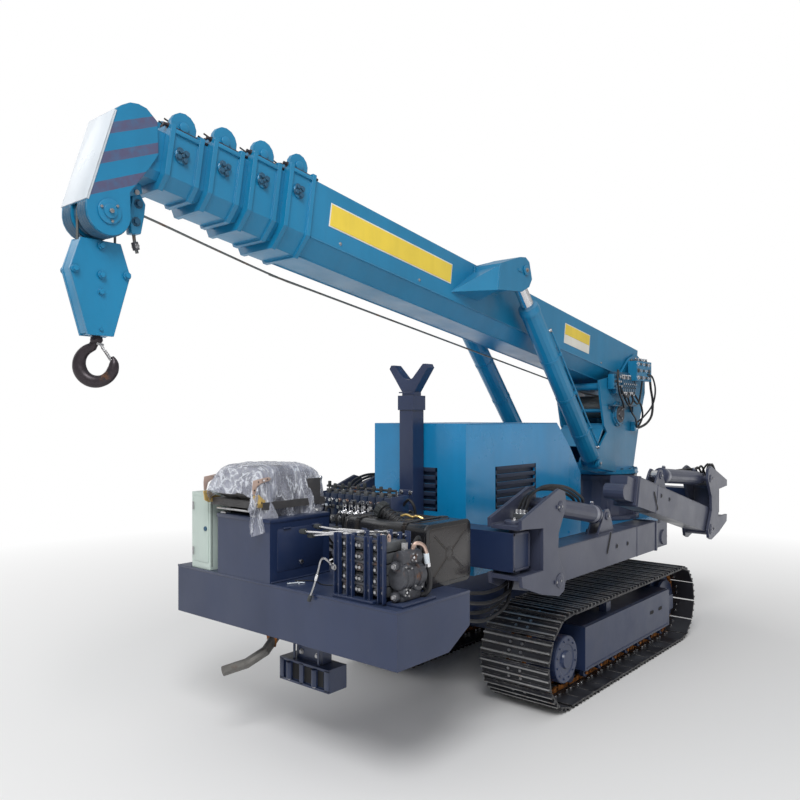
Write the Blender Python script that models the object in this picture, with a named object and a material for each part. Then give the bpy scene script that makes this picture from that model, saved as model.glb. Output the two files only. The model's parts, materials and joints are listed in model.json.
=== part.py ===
"""Spider crane: a small tracked crane with a five-part telescopic boom and four folding outriggers.

Units are metres, +Z is up, the ground is at Z = 0 and the crane's front (deck and seat) faces -Y.
Its left side is +X. The boom stands part-way up, as it is shown, and the outriggers are stowed.
Run with: blender --background --python part.py
"""
import bpy
import bmesh
from math import atan2, cos, hypot, pi, radians, sin
from mathutils import Matrix, Vector

# ------------------------------------------------------------------ fits and round pieces
GAP = 0.0003                # air between two pieces that touch
PIN_FIT = 0.0005            # running clearance of a pin in its bore
SLIDE_FIT = 0.0005          # running clearance of a slide band
OVERLAP = 0.003             # how far two shapes of one piece run into each other
SMALL_ROUND = 10            # sides of small round pieces
ROUND = 16                  # sides of larger ones
LARGE_ROUND = 24            # sides of wheels and of the slewing column

# ------------------------------------------------------------------ tracks
HALF_WIDTH = 0.75           # centre line to the outer edge of a track
SHOE_WIDTH = 0.42
SHOE_COUNT = 36
SHOE_NOTCH = 0.12           # share of a shoe's pitch that is the notch beside it
TRACK_RADIUS = 0.265        # over the grousers, at both ends
SHOE_THICKNESS = 0.025
CHAIN_DEPTH = 0.034         # chain under the shoes
CHAIN_WIDTH = 0.12
FRONT_AXLE_Y = -0.785
REAR_AXLE_Y = 0.845
HUB_RADIUS = 0.128
HUB_INSET = 0.045           # drive hub's face, in from the track's outer edge
ROLLER_RADIUS = 0.045
ROLLER_COUNT = 7
SIDE_FRAME_X = (HALF_WIDTH - 0.35, HALF_WIDTH - 0.045)
SIDE_FRAME_Z = (SHOE_THICKNESS + CHAIN_DEPTH + ROLLER_RADIUS + 0.031, TRACK_RADIUS + 0.12)

# ------------------------------------------------------------------ chassis
SPINE_HALF = 0.26
SPINE_BOTTOM = 0.50
SPINE_TOP = 0.72
SPINE_REAR = 1.86
BEAM_Z = (0.81, 1.005)      # outrigger cross-beams
BEAM_HALF_DEPTH = 0.0775
CROSS_TUBE_Y = (-0.45, 0.55)  # the tubes that carry the track frames
CROSS_TUBE_Z = (0.25, 0.42)
PLATFORM_Y = (-1.12, 1.45)
PLATFORM_TOP = 0.80

# ------------------------------------------------------------------ front deck and what stands on it
DECK_FRONT = -2.24
DECK_REAR = -1.745
DECK_BOTTOM = 0.575
DECK_TOP = 0.814
SEAT_BOX_X = (-0.41, -0.018)
SEAT_BOX_REAR = -1.86
SEAT_BOX_TOP = 1.11
CABINET_X = (-0.64, -0.486)
CABINET_TOP = 1.20
TANK_X = (0.10, 0.61)
TANK_Y = (-1.874, -1.54)
TANK_HEIGHT = 0.284
TANK_ROUND = 0.045
LEVER_STAND_X = (0.37, 0.60)
LEVER_STAND_Y = (-2.22, -2.02)
LEVER_STAND_TOP = 1.10
MOTOR_X = (HALF_WIDTH - 0.125, HALF_WIDTH - 0.025)
VALVE_BANK_X = (-0.39, 0.14)
VALVE_BANK_Y = (-1.53, -1.42)
VALVE_BANK_Z = (1.03, 1.18)

# ------------------------------------------------------------------ engine cover and boom rest
COVER_HALF = 0.329
PLATFORM_MARGIN = 0.011     # base platform, out from the cover on each side
COVER_FRONT = -1.18
COVER_TOP = 1.545
COVER_TOP_REAR = -0.18
COVER_BEND = (0.003, 1.378)  # Y, Z where the sloped back steepens
COVER_REAR = 0.145
COVER_SHOULDER = 1.206      # height where the sloped back ends
COVER_WALL = 0.012
REST_Y = -1.2375
REST_POST = 0.095           # square post
REST_COLLAR_TOP = 1.72
REST_NOTCH = 1.786          # bottom of the fork's V
REST_PRONG = (0.137, 1.872)  # X, Z of a prong's tip

# ------------------------------------------------------------------ slewing column and winch
SLEW_Y = 1.10
PEDESTAL_RADIUS = 0.27
PEDESTAL_TOP = 1.14
SPIGOT_RADIUS = 0.15
SPIGOT_BOTTOM = 1.05
TURRET_BASE = 1.146
TURRET_DISC_TOP = 1.182
TURRET_PLATE = (0.168, 0.184)  # inner and outer face of a side plate
BOOM_PIVOT = (1.36, 1.96)   # Y, Z
BOOM_PIN_RADIUS = 0.035
WINCH_CENTRE = (1.03, 1.66)  # Y, Z
WINCH_BASE_TOP = 1.52
TIE_TUBE = (-0.31, 1.81)     # Y from the slew axis, Z: the tube between the side plates
TIE_TUBE_RADIUS = 0.027
DRUM_RADIUS = 0.08
DRUM_FLANGE_RADIUS = 0.122
DRUM_HALF = 0.132
DRUM_AXLE_RADIUS = 0.022
CHEEK = (0.145, 0.160)      # inner and outer face of a winch cheek

# ------------------------------------------------------------------ boom
BOOM_ANGLE = 8.4            # degrees above level, as it stands
BOOM_HALF = 0.16            # first section, half of its width
BOOM_TOP = 0.182            # above the pivot
BOOM_BOTTOM = -0.168
BOOM_CHAMFER = (0.06, 0.085)  # width, height of the lower corners
SECTION_STEP = 0.02         # each section is smaller all round by this
SECTION_WALL = 0.008
SECTION_COUNT = 5
FIRST_REAR = -0.10          # ends of the first section, from the pivot
FIRST_FRONT = 3.71
COLLAR_STEP = 0.185
COLLAR_LENGTH = 0.155
COLLAR_RIM = 0.016
COLLAR_FACE = 0.006         # recessed face of a collar, proud of the section
INNER_REAR = 0.20           # rear end of the second section
INNER_REAR_STEP = 0.10
BAND_LENGTH = 0.06          # slide bands at a section's rear and in its mouth
EAR_RADIUS = (0.055, 0.060, 0.060, 0.060)  # sections 1 to 4
EAR_RISE = 0.038            # ear centre above the section's top
HEAD_HALF = 0.094
HEAD_SHEAVE = (FIRST_FRONT + COLLAR_STEP * (SECTION_COUNT - 1), -0.285)  # along the boom, above its axis
SHEAVE_RADIUS = 0.078
SHEAVE_GROOVE = 0.0672
SHEAVE_HALF = 0.018
SHEAVE_PIN_RADIUS = 0.02
SHEAVE_SLOT = 0.024

# ------------------------------------------------------------------ hook block
ROPE_RADIUS = 0.005
FALL_SPREAD = 0.0735        # head sheave's centre to the middle of a rope fall
BLOCK_TOP = 0.096           # below the head sheave's centre
BLOCK_WIDEST = 0.213
BLOCK_BOTTOM = 0.447
BLOCK_HALF_WIDTHS = (0.078, 0.1175, 0.05)
BLOCK_PLATE = (0.022, 0.034)
HOOK_RADIUS = 0.065         # centre line of the bowl
HOOK_CENTRE = -0.104        # below the block
HOOK_TURN = 50.0            # degrees that the hook has swivelled from the boom's direction
HOOK_RADII = [0.016, 0.018, 0.020, 0.022, 0.024, 0.0255, 0.026, 0.0255, 0.0245, 0.023, 0.0215, 0.021, 0.021,
              0.0205, 0.019, 0.0155, 0.009]

# ------------------------------------------------------------------ lift cylinders
LIFT_FOOT = (0.485, 1.255)    # Y, Z
LIFT_HEAD = (1.99, 0.207)   # along the boom, above its axis
LIFT_BARREL_RADIUS = 0.064
LIFT_X = TURRET_PLATE[1] + 0.006 + LIFT_BARREL_RADIUS
LIFT_EAR = (LIFT_X + 0.030, LIFT_X + 0.045)
LIFT_ROD_RADIUS = 0.040
LIFT_BARREL_LENGTH = 1.30
LIFT_ROD_LENGTH = 1.455
LIFT_PIN_RADIUS = 0.025
LIFT_EYE_RADIUS = 0.040
LIFT_EYE_HALF = 0.027
LIFT_ROD_EYE = 0.035
HOOD_POCKET_X = (BOOM_HALF + 0.005, LIFT_X + LIFT_BARREL_RADIUS + 0.008)
HOOD_X = (BOOM_HALF - 0.005, HOOD_POCKET_X[1] + 0.012)

# ------------------------------------------------------------------ outriggers
SWING_X = HALF_WIDTH - 0.10
BEAM_END = SWING_X + 0.04
FRONT_SWING_Y = -1.21
REAR_SWING_Y = 1.76
YOKE_PLATE = 0.02
ARM_HALF = 0.075
YOKE_HALF = ARM_HALF + 0.005 + YOKE_PLATE  # centre line to the outer face of a yoke plate
SWING_PIN_RADIUS = 0.028
ARM_PIN = (0.29, 0.72)      # out from the swing axis, height
ARM_PIN_RADIUS = 0.025
RAM_PIN = (0.30, 1.11)
RAM_PIN_RADIUS = 0.020
ARM_Z = (0.698, 0.885)
ARM_START = 0.25
ARM_END = 1.68
ARM_WALL = 0.008
LEG_SIZE = (0.115, 0.150)   # width, height
LEG_START = 0.75
LEG_END = 1.80
FOOT_RADIUS = 0.05
RAM_RADIUS = 0.052
RAM_ROD_RADIUS = 0.025
RAM_EYE_RADIUS = 0.038
LUG_HALF = 0.038            # centre line to the outer face of a lug plate
LUG_PLATE = 0.012

# name, side, way its arm points, swing axis Y, degrees its arm rises, lug pin from the arm pin (out, up)
OUTRIGGERS = (
    ("front_left", 1, 1, FRONT_SWING_Y, 0.0, (0.70, 0.265)),
    ("front_right", -1, 1, FRONT_SWING_Y, 0.0, (0.70, 0.265)),
    ("rear_left", 1, -1, REAR_SWING_Y, 13.4, (0.93, 0.250)),
    ("rear_right", -1, -1, REAR_SWING_Y, 13.4, (0.93, 0.250)),
)
SIDES = (("left", 1), ("right", -1))

# name: base colour, roughness, metallic
FINISHES = {
    "boom_blue": ((0.020, 0.190, 0.270), 0.35, 0.0),
    "cover_blue": ((0.010, 0.210, 0.400), 0.35, 0.0),
    "deck_navy": ((0.055, 0.070, 0.140), 0.45, 0.0),
    "outrigger_grey": ((0.130, 0.135, 0.200), 0.45, 0.0),
    "track_steel": ((0.060, 0.052, 0.048), 0.55, 0.6),
    "chrome": ((0.700, 0.700, 0.700), 0.12, 1.0),
    "bare_steel": ((0.300, 0.300, 0.300), 0.35, 0.9),
    "tank_black": ((0.020, 0.018, 0.018), 0.35, 0.2),
    "pale_green": ((0.520, 0.600, 0.560), 0.50, 0.0),
    "seat_black": ((0.020, 0.020, 0.022), 0.60, 0.0),
    "engine_grey": ((0.080, 0.085, 0.090), 0.50, 0.3),
    "hook_black": ((0.030, 0.025, 0.028), 0.40, 0.5),
    "rust": ((0.230, 0.110, 0.040), 0.80, 0.2),
}


# ====================================================================== modelling helpers
def clear_scene():
    for leftover in list(bpy.data.objects):
        bpy.data.objects.remove(leftover)


def finish(name):
    """The named Principled material, made on first use."""
    found = bpy.data.materials.get(name)
    if found:
        return found
    colour, roughness, metallic = FINISHES[name]
    made = bpy.data.materials.new(name)
    made.use_nodes = True
    shader = made.node_tree.nodes["Principled BSDF"]
    shader.inputs["Base Color"].default_value = (*colour, 1.0)
    shader.inputs["Roughness"].default_value = roughness
    shader.inputs["Metallic"].default_value = metallic
    return made


def box(x, y, z):
    """A block between the two values of each pair."""
    low = Vector((min(x), min(y), min(z)))
    high = Vector((max(x), max(y), max(z)))
    place = Matrix.Translation((low + high) / 2) @ Matrix.Diagonal((*(high - low), 1.0))
    shape = bmesh.new()
    bmesh.ops.create_cube(shape, size=1.0, matrix=place)
    return shape


def prism(outline, span, axis):
    """An outline pushed along axis X (its points are Y, Z), Y (X, Z) or Z (X, Y)."""
    def corner(point, depth):
        if axis == "X":
            return (depth, point[0], point[1])
        if axis == "Y":
            return (point[0], depth, point[1])
        return (point[0], point[1], depth)

    shape = bmesh.new()
    face = shape.faces.new([shape.verts.new(corner(point, min(span))) for point in outline])
    grown = bmesh.ops.extrude_face_region(shape, geom=[face])
    moved = [part for part in grown["geom"] if isinstance(part, bmesh.types.BMVert)]
    bmesh.ops.translate(shape, verts=moved, vec=Vector(corner((0.0, 0.0), max(span) - min(span))))
    bmesh.ops.recalc_face_normals(shape, faces=shape.faces)
    return shape


def bar(start, end, radius, sides=ROUND, twist=0.0):
    """A round bar from start to end; the twist turns its corners about its own axis."""
    start = Vector(start)
    end = Vector(end)
    turn = (end - start).to_track_quat("Z", "Y").to_matrix().to_4x4() @ Matrix.Rotation(twist, 4, "Z")
    shape = bmesh.new()
    bmesh.ops.create_cone(shape, cap_ends=True, segments=sides, radius1=radius, radius2=radius,
                          depth=(end - start).length, matrix=Matrix.Translation((start + end) / 2) @ turn)
    return shape


def hull(points):
    """Smallest closed body round the points."""
    shape = bmesh.new()
    for point in points:
        shape.verts.new(point)
    bmesh.ops.convex_hull(shape, input=shape.verts)
    bmesh.ops.recalc_face_normals(shape, faces=shape.faces)
    return shape


def x_bar(centre, span, radius, sides=ROUND):
    """A round bar along X; its centre is Y, Z."""
    return bar((min(span), *centre), (max(span), *centre), radius, sides)


def z_bar(centre, span, radius, sides=ROUND):
    """A round bar along Z; its centre is X, Y."""
    return bar((*centre, min(span)), (*centre, max(span)), radius, sides)


def bore(start, end, radius, sides=ROUND):
    """A cutter whose flats clear a pin of the radius at every turn, and face its corners at rest."""
    return bar(start, end, (radius + PIN_FIT) / cos(pi / sides), sides, pi / sides)


def x_bore(centre, span, radius, sides=ROUND):
    return bore((min(span), *centre), (max(span), *centre), radius, sides)


def z_bore(centre, span, radius, sides=ROUND):
    return bore((*centre, min(span)), (*centre, max(span)), radius, sides)


def pipe(points, radius, sides=10):
    """A pipe through the points, mitred at each bend; the radius may be one value or one for each point."""
    points = [Vector(point) for point in points]
    radii = radius if isinstance(radius, list) else [radius] * len(points)
    shape = bmesh.new()
    rims = []
    heading = points[1] - points[0]
    across = heading.orthogonal().normalized()
    angles = [2 * pi * side / sides for side in range(sides)]
    for index, (point, thick) in enumerate(zip(points, radii)):
        along = points[min(index + 1, len(points) - 1)] - points[max(index - 1, 0)]
        across = heading.rotation_difference(along) @ across   # carried along the line, so that it never twists
        heading = along
        other = along.cross(across).normalized()
        rims.append([shape.verts.new(point + thick * (across * cos(a) + other * sin(a))) for a in angles])
    for rim, following in zip(rims, rims[1:]):
        for side in range(sides):
            other = (side + 1) % sides
            shape.faces.new((rim[side], rim[other], following[other], following[side]))
    shape.faces.new(rims[0])
    shape.faces.new(rims[-1])
    bmesh.ops.recalc_face_normals(shape, faces=shape.faces)
    return shape


def arc(centre, radius, first, last, count):
    """Points on an arc between two angles in degrees."""
    angles = [radians(first + (last - first) * step / (count - 1)) for step in range(count)]
    return [(centre[0] + radius * cos(angle), centre[1] + radius * sin(angle)) for angle in angles]


def loose_object(name, shape):
    mesh = bpy.data.meshes.new(name)
    shape.to_mesh(mesh)
    shape.free()
    made = bpy.data.objects.new(name, mesh)
    bpy.context.scene.collection.objects.link(made)
    return made


def change(target, operation, shapes):
    """Unites the shapes with the target object, or cuts them out of it."""
    for shape in shapes:
        tool = loose_object("tool", shape)
        tool.hide_render = True
        tool.display_type = "WIRE"
        step = target.modifiers.new(operation, "BOOLEAN")
        step.operation = operation
        step.object = tool
        bpy.context.view_layer.update()
        view = bpy.context.evaluated_depsgraph_get()
        result = bpy.data.meshes.new_from_object(target.evaluated_get(view))
        target.modifiers.clear()
        target.data = result
        bpy.data.objects.remove(tool)


def piece(name, material, parent, *stages):
    """One node. The stages take turns: shapes to join, shapes to cut, shapes to join, and so on."""
    made = loose_object(name, stages[0][0])
    for number, shapes in enumerate(stages):
        if number % 2:
            change(made, "DIFFERENCE", shapes)
        else:
            change(made, "UNION", shapes[1:] if number == 0 else shapes)
    tidy = bmesh.new()
    tidy.from_mesh(made.data)
    bmesh.ops.remove_doubles(tidy, verts=tidy.verts, dist=0.00002)
    bmesh.ops.dissolve_limit(tidy, angle_limit=radians(0.3), verts=tidy.verts, edges=tidy.edges)
    bmesh.ops.triangulate(tidy, faces=tidy.faces)
    tidy.to_mesh(made.data)
    tidy.free()
    made.data.name = name
    made.data.materials.clear()
    made.data.materials.append(finish(material))
    made.data.shade_smooth()
    made.data.set_sharp_from_angle(angle=radians(35))
    made.parent = parent
    return made


def empty(name, parent, place, turn_x=0.0):
    made = bpy.data.objects.new(name, None)
    bpy.context.scene.collection.objects.link(made)
    made.location = place
    made.rotation_euler = (turn_x, 0.0, 0.0)
    made.parent = parent
    return made


def both_ways(pair, side):
    """A pair of X values on side 1 (left) or -1 (right)."""
    return (pair[0] * side, pair[1] * side)


# ====================================================================== tracks
def track_point(distance, offset):
    """Point (Y, Z) at a distance round the track's loop and an offset out from its axle line."""
    straight = REAR_AXLE_Y - FRONT_AXLE_Y
    pitch_radius = TRACK_RADIUS - SHOE_THICKNESS
    half_turn = pi * pitch_radius
    distance %= 2 * (straight + half_turn)
    if distance < straight:
        return (FRONT_AXLE_Y + distance, TRACK_RADIUS - offset)
    distance -= straight
    if distance < half_turn:
        angle = distance / pitch_radius - pi / 2
        return (REAR_AXLE_Y + offset * cos(angle), TRACK_RADIUS + offset * sin(angle))
    distance -= half_turn
    if distance < straight:
        return (REAR_AXLE_Y - distance, TRACK_RADIUS + offset)
    angle = (distance - straight) / pitch_radius + pi / 2
    return (FRONT_AXLE_Y + offset * cos(angle), TRACK_RADIUS + offset * sin(angle))


def loop_outline(offset):
    """A loop with rounded ends, at an offset out from the axle line."""
    return (arc((REAR_AXLE_Y, TRACK_RADIUS), offset, -90, 90, 13)
            + arc((FRONT_AXLE_Y, TRACK_RADIUS), offset, 90, 270, 13))


def build_track(side, label, machine):
    """Shoes and chain as one fixed loop; the notches between the shoes are in its outline."""
    chain_outside = TRACK_RADIUS - SHOE_THICKNESS
    chain_inside = chain_outside - CHAIN_DEPTH
    pitch = 2 * (REAR_AXLE_Y - FRONT_AXLE_Y + pi * chain_outside) / SHOE_COUNT
    shoes = []
    for number in range(SHOE_COUNT):
        start = number * pitch
        shoes.append(track_point(start, TRACK_RADIUS - 0.6 * SHOE_THICKNESS))
        shoes.append(track_point(start + SHOE_NOTCH * pitch, TRACK_RADIUS))
        shoes.append(track_point(start + pitch, TRACK_RADIUS))
    inner = HALF_WIDTH - SHOE_WIDTH
    middle = HALF_WIDTH - SHOE_WIDTH / 2
    chain = (middle - CHAIN_WIDTH / 2, middle + CHAIN_WIDTH / 2)
    beside = ((inner - 0.02, chain[0]), (chain[1], HALF_WIDTH + 0.02))
    cuts = [prism(loop_outline(chain_inside), both_ways((inner - 0.01, HALF_WIDTH + 0.01), side), "X")]
    cuts += [prism(loop_outline(chain_outside), both_ways(span, side), "X") for span in beside]
    piece("track_" + label, "track_steel", machine,
          [prism(shoes, both_ways((inner, HALF_WIDTH), side), "X")], cuts)


def build_track_frame(side, label, machine):
    """Side frame with its rollers, its drive wheel and hub at the front and its idler at the rear."""
    inner = SIDE_FRAME_X[0]
    middle = HALF_WIDTH - SHOE_WIDTH / 2
    chain_inside = TRACK_RADIUS - SHOE_THICKNESS - CHAIN_DEPTH
    bottom_run = TRACK_RADIUS - chain_inside
    front = (FRONT_AXLE_Y, TRACK_RADIUS)
    rear = (REAR_AXLE_Y, TRACK_RADIUS)
    low, high = SIDE_FRAME_Z
    axle_box = (TRACK_RADIUS - 0.095, TRACK_RADIUS + 0.095)
    idler_arm = (TRACK_RADIUS - 0.05, TRACK_RADIUS + 0.05)
    outline = [(-0.54, low), (0.73, low), (0.73, high - 0.015), (0.715, high), (-0.54, high)]
    roller_y = [-0.56 + 1.17 * number / (ROLLER_COUNT - 1) for number in range(ROLLER_COUNT)]
    shapes = [
        prism(outline, both_ways(SIDE_FRAME_X, side), "X"),
        box(both_ways((inner + 0.005, inner + 0.07), side), (FRONT_AXLE_Y - 0.06, -0.50), axle_box),
        box(both_ways((inner + 0.01, inner + 0.07), side), (0.70, REAR_AXLE_Y + 0.05), idler_arm),
        box(both_ways((inner + 0.21, inner + 0.27), side), (0.70, REAR_AXLE_Y + 0.05), idler_arm),
        box(both_ways((inner + 0.05, inner + 0.23), side), (-0.60, -0.50), (low + 0.005, 0.20)),
        x_bar(front, both_ways((middle - 0.03, middle + 0.03), side), chain_inside - GAP, LARGE_ROUND),
        x_bar(front, both_ways((inner + 0.04, HALF_WIDTH - HUB_INSET), side), HUB_RADIUS, LARGE_ROUND),
        x_bar(rear, both_ways((middle - 0.045, middle + 0.045), side), chain_inside - GAP, LARGE_ROUND),
        x_bar(rear, both_ways((inner + 0.04, inner + 0.24), side), 0.055, SMALL_ROUND),
    ]
    for y in roller_y:
        centre = (y, bottom_run + GAP + ROLLER_RADIUS)
        shapes.append(x_bar(centre, both_ways((middle - 0.085, middle + 0.085), side),
                            ROLLER_RADIUS, SMALL_ROUND))
    carrier_radius = 0.034
    carrier = (-0.13, TRACK_RADIUS + chain_inside - GAP - carrier_radius)
    shapes.append(x_bar(carrier, both_ways((middle - 0.06, inner + 0.24), side), carrier_radius, SMALL_ROUND))
    shapes.append(box(both_ways((inner + 0.205, inner + 0.255), side), (-0.16, -0.10),
                      (high - 0.005, carrier[1] + 0.012)))
    piece("track_frame_" + label, "deck_navy", machine, shapes)


# ====================================================================== chassis
def build_chassis(machine):
    tubes = [(y - 0.07, y + 0.07) for y in CROSS_TUBE_Y]
    front_beam = (FRONT_SWING_Y - BEAM_HALF_DEPTH, FRONT_SWING_Y + BEAM_HALF_DEPTH)
    rear_beam = (REAR_SWING_Y - BEAM_HALF_DEPTH, REAR_SWING_Y + BEAM_HALF_DEPTH)
    low, high = BEAM_Z
    reach = SIDE_FRAME_X[0] - GAP
    shapes = [box((-SPINE_HALF, SPINE_HALF), (DECK_REAR + GAP, SPINE_REAR), (SPINE_BOTTOM, SPINE_TOP))]
    for beam in (front_beam, rear_beam):
        shapes.append(box((-SPINE_HALF + 0.01, SPINE_HALF - 0.01), (beam[0] + 0.01, beam[1] - 0.01),
                          (SPINE_TOP - OVERLAP, low + OVERLAP)))
        shapes.append(box((-BEAM_END, BEAM_END), beam, (low, high)))
    for tube in tubes:
        shapes.append(box((-reach, reach), tube, CROSS_TUBE_Z))
        shapes.append(box((-0.20, 0.20), (tube[0] + 0.01, tube[1] - 0.01),
                          (CROSS_TUBE_Z[1] - OVERLAP, SPINE_BOTTOM + OVERLAP)))
    # post under the tank, in front of the valve bank
    shapes.append(box((0.14, 0.24), (-1.735, -1.62), (SPINE_TOP - OVERLAP, DECK_TOP - GAP)))
    bores = []
    for x in (-SWING_X, SWING_X):
        for y in (FRONT_SWING_Y, REAR_SWING_Y):
            bores.append(z_bore((x, y), (low - 0.02, high + 0.02), SWING_PIN_RADIUS))
    piece("chassis_frame", "deck_navy", machine, shapes, bores)
    platform_half = COVER_HALF + PLATFORM_MARGIN
    piece("base_platform", "cover_blue", machine,
          [box((-platform_half, platform_half), PLATFORM_Y, (SPINE_TOP + GAP, PLATFORM_TOP))])


# ====================================================================== front deck
def build_deck(machine):
    outline = [(DECK_FRONT, DECK_BOTTOM), (-1.90, DECK_BOTTOM), (DECK_REAR, 0.66),
               (DECK_REAR, DECK_TOP), (DECK_FRONT, DECK_TOP)]
    piece("front_deck", "deck_navy", machine, [prism(outline, (-HALF_WIDTH, HALF_WIDTH), "X")])
    floor = DECK_TOP + GAP
    piece("seat_box", "deck_navy", machine,
          [box(SEAT_BOX_X, (DECK_FRONT, SEAT_BOX_REAR), (floor, SEAT_BOX_TOP))])
    piece("side_cabinet", "pale_green", machine,
          [box(CABINET_X, (DECK_FRONT + 0.01, -1.90), (floor, CABINET_TOP))])
    build_seat(machine)
    build_lever_stand(machine, floor)
    build_tank(machine, floor)
    build_valve_bank(machine)
    build_under_deck(machine)


def build_seat(machine):
    """The seat with its back folded flat onto the cushion."""
    base_z = SEAT_BOX_TOP + GAP
    rails = [box((x - 0.015, x + 0.015), (-2.21, -1.88), (base_z, base_z + 0.045)) for x in (-0.36, -0.13)]
    pan = box((-0.45, -0.05), (-2.25, -1.86), (base_z + 0.04, base_z + 0.075))
    hinges = [box((x - 0.006, x + 0.006), (-1.97, -1.89), (base_z + 0.07, base_z + 0.17))
              for x in (-0.443, -0.057)]
    piece("seat_base", "seat_black", machine, [pan] + rails + hinges)
    low = base_z + 0.075 + GAP
    outline = [(-2.26, low), (-1.87, low), (-1.86, low + 0.05), (-1.88, low + 0.13), (-1.93, low + 0.155),
               (-2.20, low + 0.145), (-2.26, low + 0.10), (-2.27, low + 0.04)]
    piece("seat_cushion", "seat_black", machine, [prism(outline, (-0.43, -0.07), "X")])


def build_lever_stand(machine, floor):
    """Frame of the outrigger levers with the valve block in it, and the hydraulic motor beside it."""
    left, right = LEVER_STAND_X
    front, rear = LEVER_STAND_Y
    shapes = [
        box((left, right), (front, rear), (floor, floor + 0.012)),
        box((left + 0.02, right - 0.02), (front + 0.03, rear - 0.03), (floor + 0.01, 0.93)),
        box((left, right), (front, rear), (LEVER_STAND_TOP - 0.03, LEVER_STAND_TOP)),
    ]
    for x in (left, left + 0.075, right - 0.03):
        shapes.append(box((x + 0.001, x + 0.029), (front + 0.01, rear - 0.01),
                          (floor + 0.008, LEVER_STAND_TOP - 0.01)))
    piece("lever_stand", "deck_navy", machine, shapes)
    low, high = MOTOR_X
    piece("hydraulic_motor", "deck_navy", machine, [
        box(MOTOR_X, (-2.19, -1.97), (floor, floor + 0.012)),
        box((low + 0.01, high - 0.02), (-2.18, -1.98), (floor + 0.01, 1.03)),
        x_bar((-2.08, 0.93), (high - 0.035, high + 0.01), 0.055),
        bar((low + 0.045, -2.03, 1.02), (low + 0.045, -2.03, 1.07), 0.03, SMALL_ROUND),
    ])


def build_tank(machine, floor):
    """Fuel tank with rounded corners, lying across the deck's rear edge, and its filler."""
    top = floor + TANK_HEIGHT
    inset = TANK_ROUND
    outline = []
    corners = ((TANK_Y[1], floor, -90), (TANK_Y[1], top, 0), (TANK_Y[0], top, 90), (TANK_Y[0], floor, 180))
    for y, z, start in corners:
        centre = (y - inset if y == TANK_Y[1] else y + inset, z + inset if z == floor else z - inset)
        outline += arc(centre, inset, start, start + 90, 5)
    piece("fuel_tank", "tank_black", machine, [
        prism(outline, TANK_X, "X"),
        z_bar((0.375, -1.81), (top - 0.03, top + 0.035), 0.033, SMALL_ROUND),
        z_bar((0.375, -1.81), (top + 0.03, top + 0.065), 0.043, SMALL_ROUND),
    ])


def build_valve_bank(machine):
    """Rear row of hydraulic valves on its own stand, between the deck and the boom rest."""
    low, high = VALVE_BANK_Z
    front, rear = VALVE_BANK_Y
    shapes = [box(VALVE_BANK_X, VALVE_BANK_Y, VALVE_BANK_Z)]
    for x in (VALVE_BANK_X[0] + 0.14, VALVE_BANK_X[1] - 0.07):
        shapes.append(box((x - 0.03, x + 0.03), (front + 0.02, rear - 0.02), (SPINE_TOP + GAP, low + 0.01)))
    for number in range(6):
        x = VALVE_BANK_X[0] + 0.045 + 0.088 * number
        shapes.append(box((x - 0.026, x + 0.026), (front + 0.015, rear - 0.015), (high - 0.005, high + 0.06)))
    for number in range(5):
        centre = (-0.19 + 0.048 * number, low + 0.07)
        shapes.append(bar((centre[0], front - 0.05, centre[1]), (centre[0], front + 0.02, centre[1]),
                          0.017, SMALL_ROUND))
    piece("valve_bank", "deck_navy", machine, shapes)


def build_under_deck(machine):
    """Exhaust pipe and towing hitch, hung under the deck."""
    ceiling = DECK_BOTTOM - GAP
    route = [(-0.20, -2.02, ceiling - 0.02), (-0.20, -2.05, 0.50), (-0.205, -2.11, 0.44),
             (-0.25, -2.19, 0.39), (-0.33, -2.27, 0.355)]
    piece("exhaust_pipe", "rust", machine, [
        box((-0.25, -0.16), (-2.07, -1.97), (ceiling - 0.012, ceiling)),
        pipe(route, 0.024),
    ])
    piece("tow_hitch", "deck_navy", machine, [
        box((-0.15, 0.15), (-2.03, -1.93), (ceiling - 0.015, ceiling)),
        box((-0.09, 0.09), (-2.01, -1.95), (0.40, ceiling - 0.005)),
        box((-0.17, 0.17), (-2.04, -1.93), (0.30, 0.41)),
    ])


# ====================================================================== engine cover and boom rest
def cover_outline(inset):
    """Side outline (Y, Z) of the cover; the inset makes the hollow, which is open below."""
    floor = PLATFORM_TOP + GAP if inset == 0 else PLATFORM_TOP - 0.05
    slope = inset * 1.35
    return [(COVER_FRONT + inset, floor), (COVER_FRONT + inset, COVER_TOP - inset),
            (COVER_TOP_REAR - inset * 0.4, COVER_TOP - inset),
            (COVER_BEND[0] - slope * 0.7, COVER_BEND[1] - slope * 0.7),
            (COVER_REAR - inset, COVER_SHOULDER - inset * 0.4), (COVER_REAR - inset, floor)]


def build_cover(machine):
    half = COVER_HALF
    inner = half - COVER_WALL
    cuts = [prism(cover_outline(COVER_WALL), (-inner, inner), "X")]
    cuts.append(box((-1.0, 1.0), (COVER_FRONT - 0.1, FRONT_SWING_Y + BEAM_HALF_DEPTH + 0.005),
                    (0.7, BEAM_Z[1] + GAP)))
    for number in range(5):
        z = 1.075 + 0.045 * number
        for side in (-1, 1):
            cuts.append(box(both_ways((half - 0.02, half + 0.02), side), (-0.88, -0.46), (z, z + 0.022)))
        cuts.append(box((0.0, 0.125), (COVER_FRONT - 0.02, COVER_FRONT + 0.02), (z, z + 0.022)))
    piece("engine_cover", "cover_blue", machine, [prism(cover_outline(0), (-half, half), "X")], cuts)
    piece("engine", "engine_grey", machine, [
        box((-0.22, 0.22), (-0.98, -0.22), (PLATFORM_TOP + GAP, 1.22)),
        box((-0.12, 0.12), (-0.90, -0.35), (1.21, 1.36)),
    ])


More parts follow.
